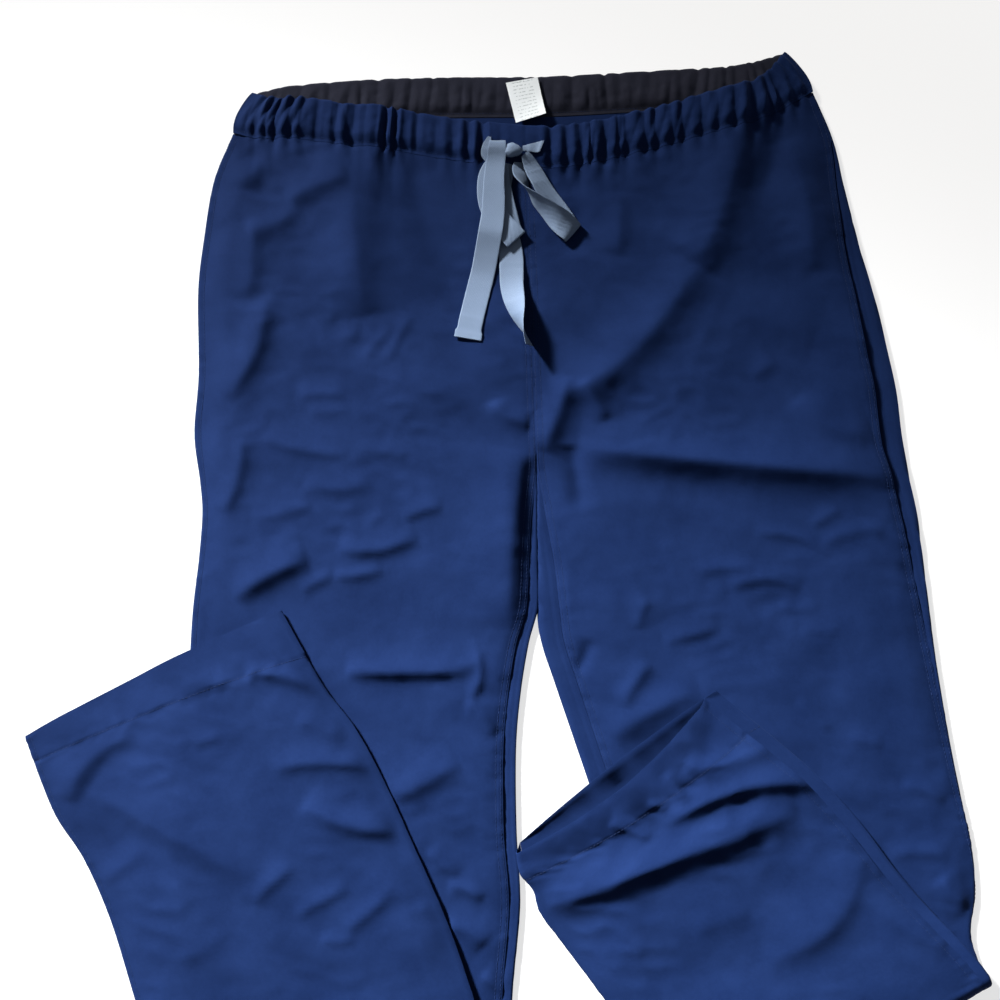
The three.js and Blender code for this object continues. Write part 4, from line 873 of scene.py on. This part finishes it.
# Meshes
def quads(index):
    """Faces of a grid of point numbers."""
    a, b, c, d = index[:-1, :-1], index[1:, :-1], index[1:, 1:], index[:-1, 1:]
    return np.stack([a, b, c, d], axis=-1).reshape(-1, 4)


def wall(outer, inner):
    """Points and faces of the closed wall between two grids."""
    rows, columns = outer.shape[:2]
    index = np.arange(rows * columns).reshape(rows, columns)
    under = index + rows * columns
    rims = [
        np.stack([index[:, 0], under[:, 0]]),
        np.stack([under[:, -1], index[:, -1]]),
        np.stack([under[0], index[0]]),
        np.stack([index[-1], under[-1]]),
    ]
    faces = [quads(index), quads(under)[:, ::-1]] + [quads(rim) for rim in rims]
    return np.concatenate([outer.reshape(-1, 3), inner.reshape(-1, 3)]), np.concatenate(faces)


def signed_volume(points, faces):
    corners = points[faces]
    first = (corners[:, 0] * np.cross(corners[:, 1], corners[:, 2])).sum()
    return first + (corners[:, 0] * np.cross(corners[:, 2], corners[:, 3])).sum()


def add_wall(name, outer, inner, uv, material):
    outer[..., 2] = np.maximum(outer[..., 2], 0)
    inner[..., 2] = np.maximum(inner[..., 2], INSIDE_LIFT)
    points, faces = wall(outer, inner)
    if signed_volume(points, faces) < 0:
        faces = faces[:, ::-1]
    flat = uv.reshape(-1, 2)
    return add_mesh(name, points, faces.tolist(), np.concatenate([flat, flat]), material)


def add_mesh(name, points, faces, uvs, material):
    """A smooth mesh object from quads whose sides are known to face out."""
    mesh = bpy.data.meshes.new(name)
    mesh.from_pydata(((points + CENTRE) * MM).tolist(), [], faces)
    mesh.update()
    layer = mesh.uv_layers.new(name="Cloth")
    order = np.empty(len(mesh.loops), np.int32)
    mesh.loops.foreach_get("vertex_index", order)
    layer.uv.foreach_set("vector", (uvs[order] * MM).astype(np.float32).ravel())
    mesh.polygons.foreach_set("use_smooth", np.ones(len(mesh.polygons), bool))
    mesh.set_sharp_from_angle(angle=math.radians(50))
    mesh.materials.append(material)
    piece = bpy.data.objects.new(name, mesh)
    bpy.context.scene.collection.objects.link(piece)
    return piece


# Materials
def new_material(name, roughness, sheen, sheen_tint, specular):
    material = bpy.data.materials.new(name)
    material.use_nodes = True
    shader = material.node_tree.nodes["Principled BSDF"]
    shader.inputs["Roughness"].default_value = roughness
    shader.inputs["Sheen Weight"].default_value = sheen
    shader.inputs["Sheen Roughness"].default_value = 0.45
    shader.inputs["Sheen Tint"].default_value = (*sheen_tint, 1)
    shader.inputs["Specular IOR Level"].default_value = specular
    return material, material.node_tree, shader


def add_node(tree, kind, values=None, **links):
    """A node with its values set by name, and its inputs linked to other nodes' outputs."""
    node = tree.nodes.new(kind)
    for key, value in (values or {}).items():
        if key in node.inputs:
            node.inputs[key].default_value = value
        else:
            setattr(node, key, value)
    for key, output in links.items():
        socket = node.inputs[int(key[1:])] if key[0] == "n" and key[1:].isdigit() else node.inputs[key]
        tree.links.new(output, socket)
    return node


def cloth_place(tree):
    """Coordinates in the flat cloth, in millimetres."""
    uv = add_node(tree, "ShaderNodeUVMap", {"uv_map": "Cloth"})
    scale = add_node(tree, "ShaderNodeVectorMath", {"operation": "SCALE"}, n0=uv.outputs["UV"])
    scale.inputs["Scale"].default_value = 1 / MM
    return scale.outputs["Vector"]


def mixed_colour(tree, share, dark, light):
    node = add_node(tree, "ShaderNodeMix", {"data_type": "RGBA"})
    node.inputs["A"].default_value = (0, 0, 0, 1)
    colour_a = [socket for socket in node.inputs if socket.name == "A" and socket.type == "RGBA"][0]
    colour_b = [socket for socket in node.inputs if socket.name == "B" and socket.type == "RGBA"][0]
    colour_a.default_value = (*dark, 1)
    colour_b.default_value = (*light, 1)
    tree.links.new(share, node.inputs[0])
    return [socket for socket in node.outputs if socket.type == "RGBA"][0]


def product(tree, a, b):
    return add_node(tree, "ShaderNodeMath", {"operation": "MULTIPLY"}, n0=a, n1=b).outputs[0]


def weighted_sum(tree, value, weight, other):
    node = add_node(tree, "ShaderNodeMath", {"operation": "MULTIPLY_ADD"}, n0=value, n2=other)
    node.inputs[1].default_value = weight
    return node.outputs[0]


def ramp(tree, value, low, high):
    """0 where a value is at low, rising or falling to 1 where it is at high."""
    node = add_node(tree, "ShaderNodeMapRange", {"From Min": low, "From Max": high}, Value=value)
    return node.outputs["Result"]


def wave(tree, place, direction, scale, **values):
    settings = {"bands_direction": direction, "Scale": scale, **values}
    return add_node(tree, "ShaderNodeTexWave", settings, Vector=place).outputs["Fac"]


def mottle(tree, place, **values):
    return add_node(tree, "ShaderNodeTexNoise", values, Vector=place).outputs["Fac"]


def finish_shader(tree, shader, colour, height, strength, distance):
    """Link a colour and a bump to a shader."""
    tree.links.new(colour, shader.inputs["Base Color"])
    bump = add_node(tree, "ShaderNodeBump", {"Strength": strength, "Distance": distance}, Height=height)
    tree.links.new(bump.outputs["Normal"], shader.inputs["Normal"])


THREAD_SCALE = 0.55


def cloth_material(name, dark, light):
    """Plain-woven cloth: crossing threads, a faint mottle and small slubs."""
    material, tree, shader = new_material(name, 0.88, 0.02, (0.2, 0.4, 1.0), 0.06)
    place = cloth_place(tree)
    warp = wave(tree, place, "X", THREAD_SCALE, Distortion=0.6, Detail=1.0)
    weft = wave(tree, place, "Y", THREAD_SCALE, Distortion=0.6, Detail=1.0)
    slubs = mottle(tree, place, Scale=0.35, Detail=5.0, Roughness=0.65)
    share = weighted_sum(tree, slubs, 0.6, mottle(tree, place, Scale=0.03, Detail=3.0))
    colour = mixed_colour(tree, ramp(tree, share, 0.55, 1.05), dark, light)
    height = weighted_sum(tree, slubs, 1.2, product(tree, warp, weft))
    finish_shader(tree, shader, colour, height, 0.35, 0.00012)
    return material


NAVY = cloth_material("navy_cloth", (0.0030, 0.0105, 0.046), (0.0052, 0.0152, 0.061))
NAVY_INSIDE = cloth_material("navy_inside", (0.0125, 0.0135, 0.022), (0.018, 0.019, 0.031))


def tape_material():
    """Grey-blue twill tape: slanting ribs and plain edges."""
    material, tree, shader = new_material("twill_tape", 0.7, 0.08, (0.8, 0.9, 1.0), 0.25)
    place = cloth_place(tree)
    ribs = wave(tree, place, "DIAGONAL", 0.42, Distortion=0.4)
    share = product(tree, ribs, mottle(tree, place, Scale=0.8, Detail=4.0))
    colour = mixed_colour(tree, share, (0.118, 0.164, 0.245), (0.2, 0.268, 0.385))
    finish_shader(tree, shader, colour, ribs, 0.5, 0.0002)
    return material


TAPE = tape_material()


def label_material():
    """White satin with faint grey bars in place of print."""
    material, tree, shader = new_material("label_satin", 0.55, 0.1, (1, 1, 1), 0.4)
    place = cloth_place(tree)
    across = add_node(tree, "ShaderNodeSeparateXYZ", Vector=place).outputs["X"]
    marks = ramp(tree, wave(tree, place, "Y", 0.095), 0.72, 0.86)
    gaps = ramp(tree, mottle(tree, place, Scale=0.55, Detail=1.0), 0.46, 0.52)
    for other in (gaps, ramp(tree, across, 4.0, 5.5), ramp(tree, across, 23.0, 21.5)):
        marks = product(tree, marks, other)
    colour = mixed_colour(tree, marks, (0.8, 0.84, 0.86), (0.48, 0.52, 0.54))
    finish_shader(tree, shader, colour, wave(tree, place, "X", 1.6), 0.2, 0.0001)
    return material


LABEL_WHITE = label_material()


def thread_material():
    """Twisted navy sewing thread."""
    material, tree, shader = new_material("navy_thread", 0.7, 0.05, (0.5, 0.65, 1.0), 0.12)
    twist = wave(tree, cloth_place(tree), "DIAGONAL", 1.4)
    colour = mixed_colour(tree, twist, (0.005, 0.014, 0.052), (0.011, 0.024, 0.080))
    finish_shader(tree, shader, colour, twist, 0.4, 0.0001)
    return material


NAVY_THREAD = thread_material()

# The four leg panels
panels = {}
for leg in (RIGHT_LEG, LEFT_LEG):
    for side, make in (("front", front_panel), ("back", back_panel)):
        outer, inner, uv, rows = make(leg)
        name = f"{leg['name']}_leg_{side}"
        piece = add_wall(name, outer, inner, uv, NAVY)
        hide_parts(f"{side}_panel_{leg['name']}")
        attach(piece, "root")
        panels[name] = {"piece": piece, "outer": outer, "inner": inner, "uv": uv, "rows": rows}


# Waistbands
BAND_COLUMN = 1.0  # width of a band's cells
BAND_STITCH = 3.2  # height of the casing's stitching over its seam
CASING_ROUND = 3.0  # how far the casing's folded top reaches round
CASING_CELLS = 22
CASING_LAYERS = 1.25  # thickness of its layers at the seam
CASING_FILL = 0.4  # how much thicker they are past the casing's stitching
FILL_REACH = 7
casing_levels = np.linspace(0, 1 - CASING_ROUND / BAND_HEIGHT, CASING_CELLS)
round_turn = np.radians(np.linspace(75, -75, 9))
SECTION = {  # places round a casing: level up the band, share of its thickness and direction out
    "level": np.concatenate([
        casing_levels,
        1 - (1 - np.cos(round_turn)) * CASING_ROUND / BAND_HEIGHT,
        casing_levels[::-3],
    ]),
    "high": np.concatenate([
        np.ones(CASING_CELLS),
        (1 + np.sin(round_turn)) / 2,
        np.zeros(len(casing_levels[::-3])),
    ]),
    "out_y": np.concatenate([
        np.zeros(CASING_CELLS),
        np.cos(round_turn),
        np.zeros(len(casing_levels[::-3])),
    ]),
    "out_z": np.concatenate([
        np.ones(CASING_CELLS),
        np.sin(round_turn),
        -np.ones(len(casing_levels[::-3])),
    ]),
}


def seam_line(names, key):
    """The top edges of two panels in one line, viewer's left to right."""
    points = np.concatenate([panels[name][key][0] for name in names])
    return points[np.argsort(points[:, 0])]


def band_grids(seam, waistline, gathers, puff, base_at):
    """Outer and inner grids of a casing: a strip folded in two, gathered along its length."""
    first, last = waistline["x"][0] + BAND_INSET, waistline["x"][-1] - BAND_INSET
    x = np.linspace(first, last, round((last - first) / BAND_COLUMN))[:, None]
    level, high = SECTION["level"][None, :], SECTION["high"][None, :]
    seam_y, seam_z = np.interp(x, seam[:, 0], seam[:, 1]), np.interp(x, seam[:, 0], seam[:, 2])
    lean = line_at(waistline, "lean", x)
    position = (x - first) / (last - first)
    near_end = smooth((np.abs(2 * position - 1) - 0.7) / 0.3)
    bulge = 4 * BAND_BULGE * near_end * np.sign(2 * position - 1)
    ends = smooth(np.minimum(position, 1 - position) / 0.02)
    pinch = pleats(gathers, x, level, 0.0 * level)
    swell = smooth(level / 0.3) * (0.5 + 0.5 * np.sin(np.pi * np.clip(level, 0, 1)))
    lumps = 0.7 * noise(x, BAND_HEIGHT * level, 18, 71) + 0.3 * noise(x, BAND_HEIGHT * level, 6, 72)
    sewn = np.exp(-(((level * BAND_HEIGHT - BAND_STITCH) / 1.3) ** 2))
    sewn = sewn * (0.35 + 0.2 * noise(x, 0 * level, 5, 73))
    layers = CASING_LAYERS + CASING_FILL * smooth(level * BAND_HEIGHT / FILL_REACH)
    fullness = np.clip(1 - 0.6 * pinch + 0.45 * lumps, 0.03, 1.6)
    thick = layers + puff * swell * ends * fullness - sewn * high
    scallop = (1.5 - 2.4 * np.maximum(pinch, 0)) * smooth((level - 0.55) / 0.45)
    base = base_at(seam_z, level)
    out_y, out_z = SECTION["out_y"][None, :], SECTION["out_z"][None, :]
    grids = []
    for inset in (0.0, CASING_CLOTH):
        y = seam_y + SEAM_GAP + BAND_HEIGHT * level + scallop - inset * out_y
        z = base + thick * high - inset * out_z
        grids.append(np.stack([x + lean * level + bulge * level * (1 - level), y, z], axis=-1))
    run = running(np.hypot(np.diff(SECTION["level"]) * BAND_HEIGHT, 2 * np.diff(SECTION["high"])))
    uv = np.stack(np.broadcast_arrays(x * 1.2, run[None, :]), axis=-1)
    return grids[0], grids[1], uv


front_seam = seam_line(("right_leg_front", "left_leg_front"), "inner")
front_band = band_grids(
    front_seam, FRONT_WAIST, FRONT_GATHERS, 3.2,
    lambda z, level: np.maximum(BACK_BAND_TOP + SEAM_GAP, z - 0.4 + 1.6 * level),
)
back_seam = seam_line(("right_leg_back", "left_leg_back"), "outer")
back_band = band_grids(back_seam, BACK_WAIST, BACK_GATHERS, 2.6, lambda z, level: 0 * z)
for name, node, grids, material, slot in (
    ("front_casing", "waistband_front", front_band, NAVY, "cloth"),
    ("back_casing", "waistband_back", back_band, NAVY_INSIDE, "cloth_inside"),
):
    piece = add_wall(name, *grids, material)
    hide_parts(node)
    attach(piece, "root")
    panels[name] = {"piece": piece, "outer": grids[0], "inner": grids[1], "uv": grids[2]}


# Stitches: one row of them on the cloth for each line of sewing that shows
def line_beside(grid, offset, from_end):
    """A line down a panel, at a distance from its first or last edge."""
    columns = grid[:, ::-1] if from_end else grid
    place = np.interp(offset, SEAM_OFFSETS, np.arange(len(SEAM_OFFSETS)))
    i = int(place)
    return mix(columns[:, i], columns[:, i + 1], place - i)


def stitches_on(path, inner_path):
    """Rings of points round each stitch along a line on a wall's outside."""
    out = path - inner_path
    run = running(np.linalg.norm(np.diff(path, axis=0), axis=1))
    starts = np.arange(STITCH_PITCH, run[-1] - STITCH_PITCH, STITCH_PITCH)

    def at(values, lengths):
        return np.stack([np.interp(lengths, run, values[:, k]) for k in range(3)], axis=-1)

    first, last = at(path, starts), at(path, starts + STITCH_LENGTH)
    up = at(out, starts + STITCH_LENGTH / 2)
    up = up / np.linalg.norm(up, axis=1)[:, None]
    side = np.cross(last - first, up)
    side = side / np.linalg.norm(side, axis=1)[:, None]
    rings = []
    turns = 2 * np.pi * np.arange(STITCH_SIDES) / STITCH_SIDES
    round_it = np.stack([np.cos(turn) * side + np.sin(turn) * up for turn in turns], axis=1)
    for share, size in STITCH_RINGS:
        ring = mix(first, last, share)[:, None] + STITCH_RADIUS * size * round_it
        rings.append(ring + 0.4 * STITCH_RADIUS * up[:, None])
    return np.stack(rings, axis=1)


def add_stitches(name, lines, material):
    rings = np.concatenate([stitches_on(*line) for line in lines])
    count = len(rings)
    index = np.arange(len(STITCH_RINGS) * STITCH_SIDES).reshape(-1, STITCH_SIDES)
    around = np.concatenate([index, index[:, :1]], axis=1)
    one = np.concatenate([quads(around), [index[0, ::-1], index[-1]]])
    faces = (one[None] + index.size * np.arange(count)[:, None, None]).reshape(-1, 4)
    points = rings.reshape(-1, 3)
    points[:, 2] = np.maximum(points[:, 2], 0)
    if signed_volume(points, faces[:len(one)]) < 0:
        faces = faces[:, ::-1]
    along = [share * STITCH_LENGTH for share, _ in STITCH_RINGS]
    around, along = np.meshgrid(np.arange(STITCH_SIDES) * STITCH_RADIUS, along)
    one_uv = np.stack([around, along], axis=-1).reshape(-1, 2)
    uvs = (one_uv[None] + STITCH_PITCH * np.arange(count)[:, None, None]).reshape(-1, 2)
    return add_mesh(name, points, faces.tolist(), uvs, material)


sewn_lines = []
for leg in (RIGHT_LEG, LEFT_LEG):
    for side, shows, offsets in (("front", 0.0, (1.6, TOPSTITCH)), ("back", np.pi, (TOPSTITCH,))):
        panel = panels[f"{leg['name']}_leg_{side}"]
        shown = panel["rows"]["turn"][:, 0] == shows
        for from_end in (False, True):
            for offset in offsets:
                line = [line_beside(panel[key][shown], offset, from_end) for key in ("outer", "inner")]
                sewn_lines.append(line)
        hem_row = np.argmin(np.abs(panel["rows"]["hem"][:, 0] - HEM_DEPTH + HEM_STITCH))
        sewn_lines.append([panel[key][hem_row] for key in ("outer", "inner")])
casing_column = np.argmin(np.abs(casing_levels * BAND_HEIGHT - BAND_STITCH))
for name in ("front_casing", "back_casing"):
    sewn_lines.append([panels[name][key][:, casing_column] for key in ("outer", "inner")])
stitches = add_stitches("seam_stitches", sewn_lines, NAVY_THREAD)
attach(stitches, "root")


def cloth_tree(names):
    """What a tape or label lies on, for finding its height."""
    points, faces = [], []
    count = 0
    for name in names:
        grid = panels[name]["outer"]
        index = np.arange(grid.shape[0] * grid.shape[1]).reshape(grid.shape[:2])
        points.append(grid.reshape(-1, 3))
        faces.append(quads(index) + count)
        count += index.size
    return BVHTree.FromPolygons(np.concatenate(points).tolist(), np.concatenate(faces).tolist())


def heights_on(tree, x, y):
    """Height of the highest cloth at each place in plan."""
    heights = []
    for px, py in zip(x, y):
        hit = tree.ray_cast(Vector((px, py, 60)), Vector((0, 0, -1)))[0]
        heights.append(hit.z if hit else 0.0)
    return np.array(heights)


# Care label
def add_label():
    rows, columns = 30, 20
    s, t = np.meshgrid(np.linspace(0, 1, columns + 1), np.linspace(0, 1, rows + 1))
    corners = [np.array(LABEL_CORNERS[key]) for key in ("top_left", "top_right", "foot_left", "foot_right")]
    top = mix(corners[0], corners[1], s[..., None])
    foot = mix(corners[2], corners[3], s[..., None])
    places = mix(top, foot, t[..., None])
    tree = cloth_tree(["back_casing"])
    base = heights_on(tree, places[..., 0].ravel(), places[..., 1].ravel()).max() + SEAM_GAP
    wave = 0.35 * np.sin(5 * t + 3 * s) + 0.5 * smooth((s - 0.7) / 0.3) * smooth((t - 0.75) / 0.25)
    places[..., 2] = base + places[..., 2] * t + wave * t + 0.3
    above = places + np.array([0, 0, LABEL_THICK])
    uv = np.stack([s * 27.5, t * 38.5], axis=-1)
    return add_wall("satin_label", above, places, uv, LABEL_WHITE)


label = add_label()
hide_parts("care_label")
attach(label, "root")


# Drawstring
TAPE_STEPS = 10  # sections of a tape for each row of its table
section_angle = np.linspace(0, 2 * np.pi, 28, endpoint=False)
TAPE_SECTION = np.stack([
    np.sign(np.cos(section_angle)) * np.abs(np.cos(section_angle)) ** 0.9,
    np.sign(np.sin(section_angle)) * np.abs(np.sin(section_angle)) ** 0.35,
], axis=-1)


def tube(rings):
    """Points and faces of a closed tube through rings of equally many points."""
    count, sides = rings.shape[:2]
    index = np.arange(count * sides).reshape(count, sides)
    index = np.concatenate([index, index[:, :1]], axis=1)
    faces = quads(index)[:, ::-1].tolist()
    faces.append(list(range(sides)))
    faces.append(list(range((count - 1) * sides, count * sides))[::-1])
    return rings.reshape(-1, 3), faces


def tape_rings(route, tree, tab=0.0):
    """Rings of a flat tape along its route, the middle of each, and its place in the flat tape.

    A length of tab at its end is folded back on itself, so it is thicker and a little wider.
    """
    place = np.linspace(0, len(route["x"]) - 1, (len(route["x"]) - 1) * TAPE_STEPS + 1)
    at = {key: column_at(route, key, place) for key in route}
    heading, slope = np.radians(at["heading"]), np.radians(at["slope"])
    width = TAPE_WIDTH * at["wide"]
    across = np.stack([
        np.cos(heading) * np.cos(slope),
        np.sin(heading) * np.cos(slope),
        np.sin(slope),
    ], axis=-1)
    base = np.zeros(len(place))
    for share in (-0.5, -0.25, 0, 0.25, 0.5):
        under_x, under_y = at["x"] + share * width * across[:, 0], at["y"] + share * width * across[:, 1]
        base = np.maximum(base, heights_on(tree, under_x, under_y))
    padded = np.pad(base, TAPE_STEPS, mode="edge")
    kernel = np.hanning(2 * TAPE_STEPS + 1)
    base = np.maximum(base, np.convolve(padded, kernel / kernel.sum(), mode="valid"))
    tall = width * np.abs(np.sin(slope)) + TAPE_THICK * np.abs(np.cos(slope))
    middle = np.stack([at["x"], at["y"], base + SEAM_GAP + at["lift"] + tall / 2], axis=-1)
    tangent = np.gradient(middle, axis=0)
    up = np.cross(tangent, across)
    up = up / np.linalg.norm(up, axis=1)[:, None]
    run = running(np.linalg.norm(np.diff(middle, axis=0), axis=1))
    folded = smooth((run - run[-1] + tab) / 1.5)[:, None] if tab else np.zeros((len(run), 1))
    half = width[:, None] / 2 * TAPE_SECTION[None, :, 0] * mix(1, TAB_WIDER, folded)
    cup = 0.25 * (TAPE_SECTION[None, :, 0] ** 2 - 0.5)
    thick = TAPE_THICK / 2 * TAPE_SECTION[None, :, 1] * mix(1, TAB_THICKER, folded) + cup
    sewn = np.exp(-(((run - run[-1] + tab - 2.2) / 0.8) ** 2))[:, None] if tab else 0
    thick = thick - 0.3 * sewn * np.maximum(TAPE_SECTION[None, :, 1], 0)
    rings = middle[:, None] + half[..., None] * across[:, None] + thick[..., None] * up[:, None]
    uv = np.stack([half + TAPE_WIDTH, np.broadcast_to(run[:, None], half.shape)], axis=-1)
    return rings, middle, uv


def signed_side(points, faces):
    """Positive where a mesh's faces look out."""
    total = 0.0
    for face in faces:
        corner = points[face]
        total += np.dot(corner[0], np.cross(corner[1:-1], corner[2:]).sum(axis=0))
    return total


def add_tube(name, rings, uv, material):
    points, faces = tube(rings)
    if signed_side(points - points.mean(axis=0), faces) < 0:
        faces = [face[::-1] for face in faces]
    return add_mesh(name, points, faces, uv.reshape(-1, 2), material)


def metres(points):
    """Points of the drawing in the part's frame, in metres."""
    return (np.asarray(points) + CENTRE) * MM


def add_drawstring():
    tree = cloth_tree(["right_leg_front", "left_leg_front", "front_casing"])
    tapes = {}
    for name, node, route in (
        ("bow_lead_right", "drawstring_lead_right", LEAD_RIGHT),
        ("bow_lead_left", "drawstring_lead_left", LEAD_LEFT),
        ("bow_end_long", "drawstring_end_long", LONG_END),
        ("bow_end_short", "drawstring_end_short", SHORT_END),
        ("bow_loop_right", "drawstring_loop_right", RIGHT_LOOP),
        ("bow_loop_left", "drawstring_loop_left", LEFT_LOOP),
    ):
        rings, middle, uv = tape_rings(route, tree, TAB_LENGTH if route is LONG_END else 0.0)
        piece = add_tube(name, rings, uv, TAPE)
        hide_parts(node)
        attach(piece, "root")
        tapes[name] = (piece, metres(middle))
    return tapes, tree


def add_knot(tree):
    """The knot: tape wrapped once round the bow, drawn in where the loops leave it."""
    rings, sides = 30, 40
    level = np.pi * np.linspace(0.04, 0.96, rings)[:, None]
    angle = 2 * np.pi * np.arange(sides)[None, :] / sides
    lobe = (1 + 0.09 * np.cos(3 * angle + 0.6)) * np.sin(level) ** 0.8
    lobe = lobe * (1 + 0.035 * np.cos(9 * angle + 4 * level))
    wide = np.linspace(-0.6, 0.6, 3)
    spots = [
        (KNOT["x"] + a * KNOT["radius_x"], KNOT["y"] + b * KNOT["radius_y"])
        for a in wide for b in wide
    ]
    base = heights_on(tree, *zip(*spots)).max()
    points = np.stack([
        KNOT["x"] + KNOT["radius_x"] * lobe * np.cos(angle),
        KNOT["y"] + KNOT["radius_y"] * lobe * np.sin(angle),
        base + SEAM_GAP + KNOT["radius_z"] * (1 + np.cos(level)) + 0 * angle,
    ], axis=-1)
    uv = np.stack(np.broadcast_arrays(angle * KNOT["radius_x"], level * KNOT["radius_z"]), axis=-1)
    return add_tube("bow_knot", points, uv, TAPE)


tapes, tape_ground = add_drawstring()
knot = add_knot(tape_ground)
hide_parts("drawstring_knot")
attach(knot, "root")


for name, far_end in (
    ("bow_end_long", "bare"), ("bow_end_short", "bare"),
    ("bow_loop_right", "object"), ("bow_loop_left", "object"),
):
    piece, path = tapes[name]


for name, flat in (
    ("right_leg_front", (0.30, 1.14)), ("right_leg_back", (0.34, 1.19)),
    ("left_leg_front", (0.30, 1.04)), ("left_leg_back", (0.36, 1.09)),
):
    piece = panels[name]["piece"]


# Floor, light and camera
FLOOR_GAP = 0.0003
FLOOR_GLOW = 0.7  # keeps the floor pale where little light falls on it
LIGHT_HEIGHT = math.radians(27)
LIGHT_TURN = math.radians(45)  # from the waist end to the viewer's left
LIGHT_DISTANCE = 3.2
LEGS_SPOT_AIM = (0.5, -0.9, 0)


def add_floor():
    mesh = bpy.data.meshes.new("floor")
    size = 3.0
    corners = [(-size, -size, 0), (size, -size, 0), (size, size, 0), (-size, size, 0)]
    mesh.from_pydata(corners, [], [(0, 1, 2, 3)])
    material, tree, shader = new_material("pale_table", 0.9, 0.0, (1, 1, 1), 0.2)
    grain = add_node(tree, "ShaderNodeTexNoise", {"Scale": 6.0, "Detail": 3.0})
    colour = mixed_colour(tree, grain.outputs["Fac"], (0.3, 0.3, 0.3), (0.33, 0.33, 0.33))
    tree.links.new(colour, shader.inputs["Base Color"])
    shader.inputs["Emission Color"].default_value = (1, 1, 1, 1)
    shader.inputs["Emission Strength"].default_value = FLOOR_GLOW
    mesh.materials.append(material)
    floor = bpy.data.objects.new("floor", mesh)
    floor.location.z = -FLOOR_GAP
    bpy.context.scene.collection.objects.link(floor)


def add_light(name, kind, place, aim, energy, **settings):
    data = bpy.data.lights.new(name, kind)
    data.energy = energy
    for key, value in settings.items():
        setattr(data, key, value)
    light = bpy.data.objects.new(name, data)
    light.location = place
    light.rotation_euler = (Vector(aim) - Vector(place)).to_track_quat("-Z", "Y").to_euler()
    bpy.context.scene.collection.objects.link(light)


def add_lights():
    """Low light from the waist end and the viewer's left, stronger towards the legs."""
    level = math.cos(LIGHT_HEIGHT)
    towards = Vector((-math.sin(LIGHT_TURN) * level, math.cos(LIGHT_TURN) * level, math.sin(LIGHT_HEIGHT)))
    far = LIGHT_DISTANCE * towards
    add_light("key", "SUN", far, (0, 0, 0), 3.15, angle=math.radians(9), color=(1.0, 0.95, 0.88))
    add_light("legs", "SPOT", far, LEGS_SPOT_AIM, 2900, spot_size=math.radians(26), spot_blend=1.0,
              shadow_soft_size=0.22, color=(0.94, 0.97, 1.0))
    world = bpy.data.worlds.new("studio")
    world.use_nodes = True
    world.node_tree.nodes["Background"].inputs["Color"].default_value = (0.9, 0.94, 1.0, 1)
    world.node_tree.nodes["Background"].inputs["Strength"].default_value = 0.17
    bpy.context.scene.world = world


def add_camera():
    data = bpy.data.cameras.new("camera")
    data.lens = CAMERA["lens"]
    data.sensor_width = 36.0
    camera = bpy.data.objects.new("camera", data)
    tilt = math.radians(90 - CAMERA["elevation"])
    back = Vector((0, -math.sin(tilt), math.cos(tilt)))
    camera.location = Vector(CAMERA["target"]) + CAMERA["distance"] * back
    camera.rotation_euler = (tilt, 0, 0)
    bpy.context.scene.collection.objects.link(camera)
    bpy.context.scene.camera = camera


add_floor()
add_lights()
add_camera()
bpy.context.scene.view_settings.view_transform = "Standard"
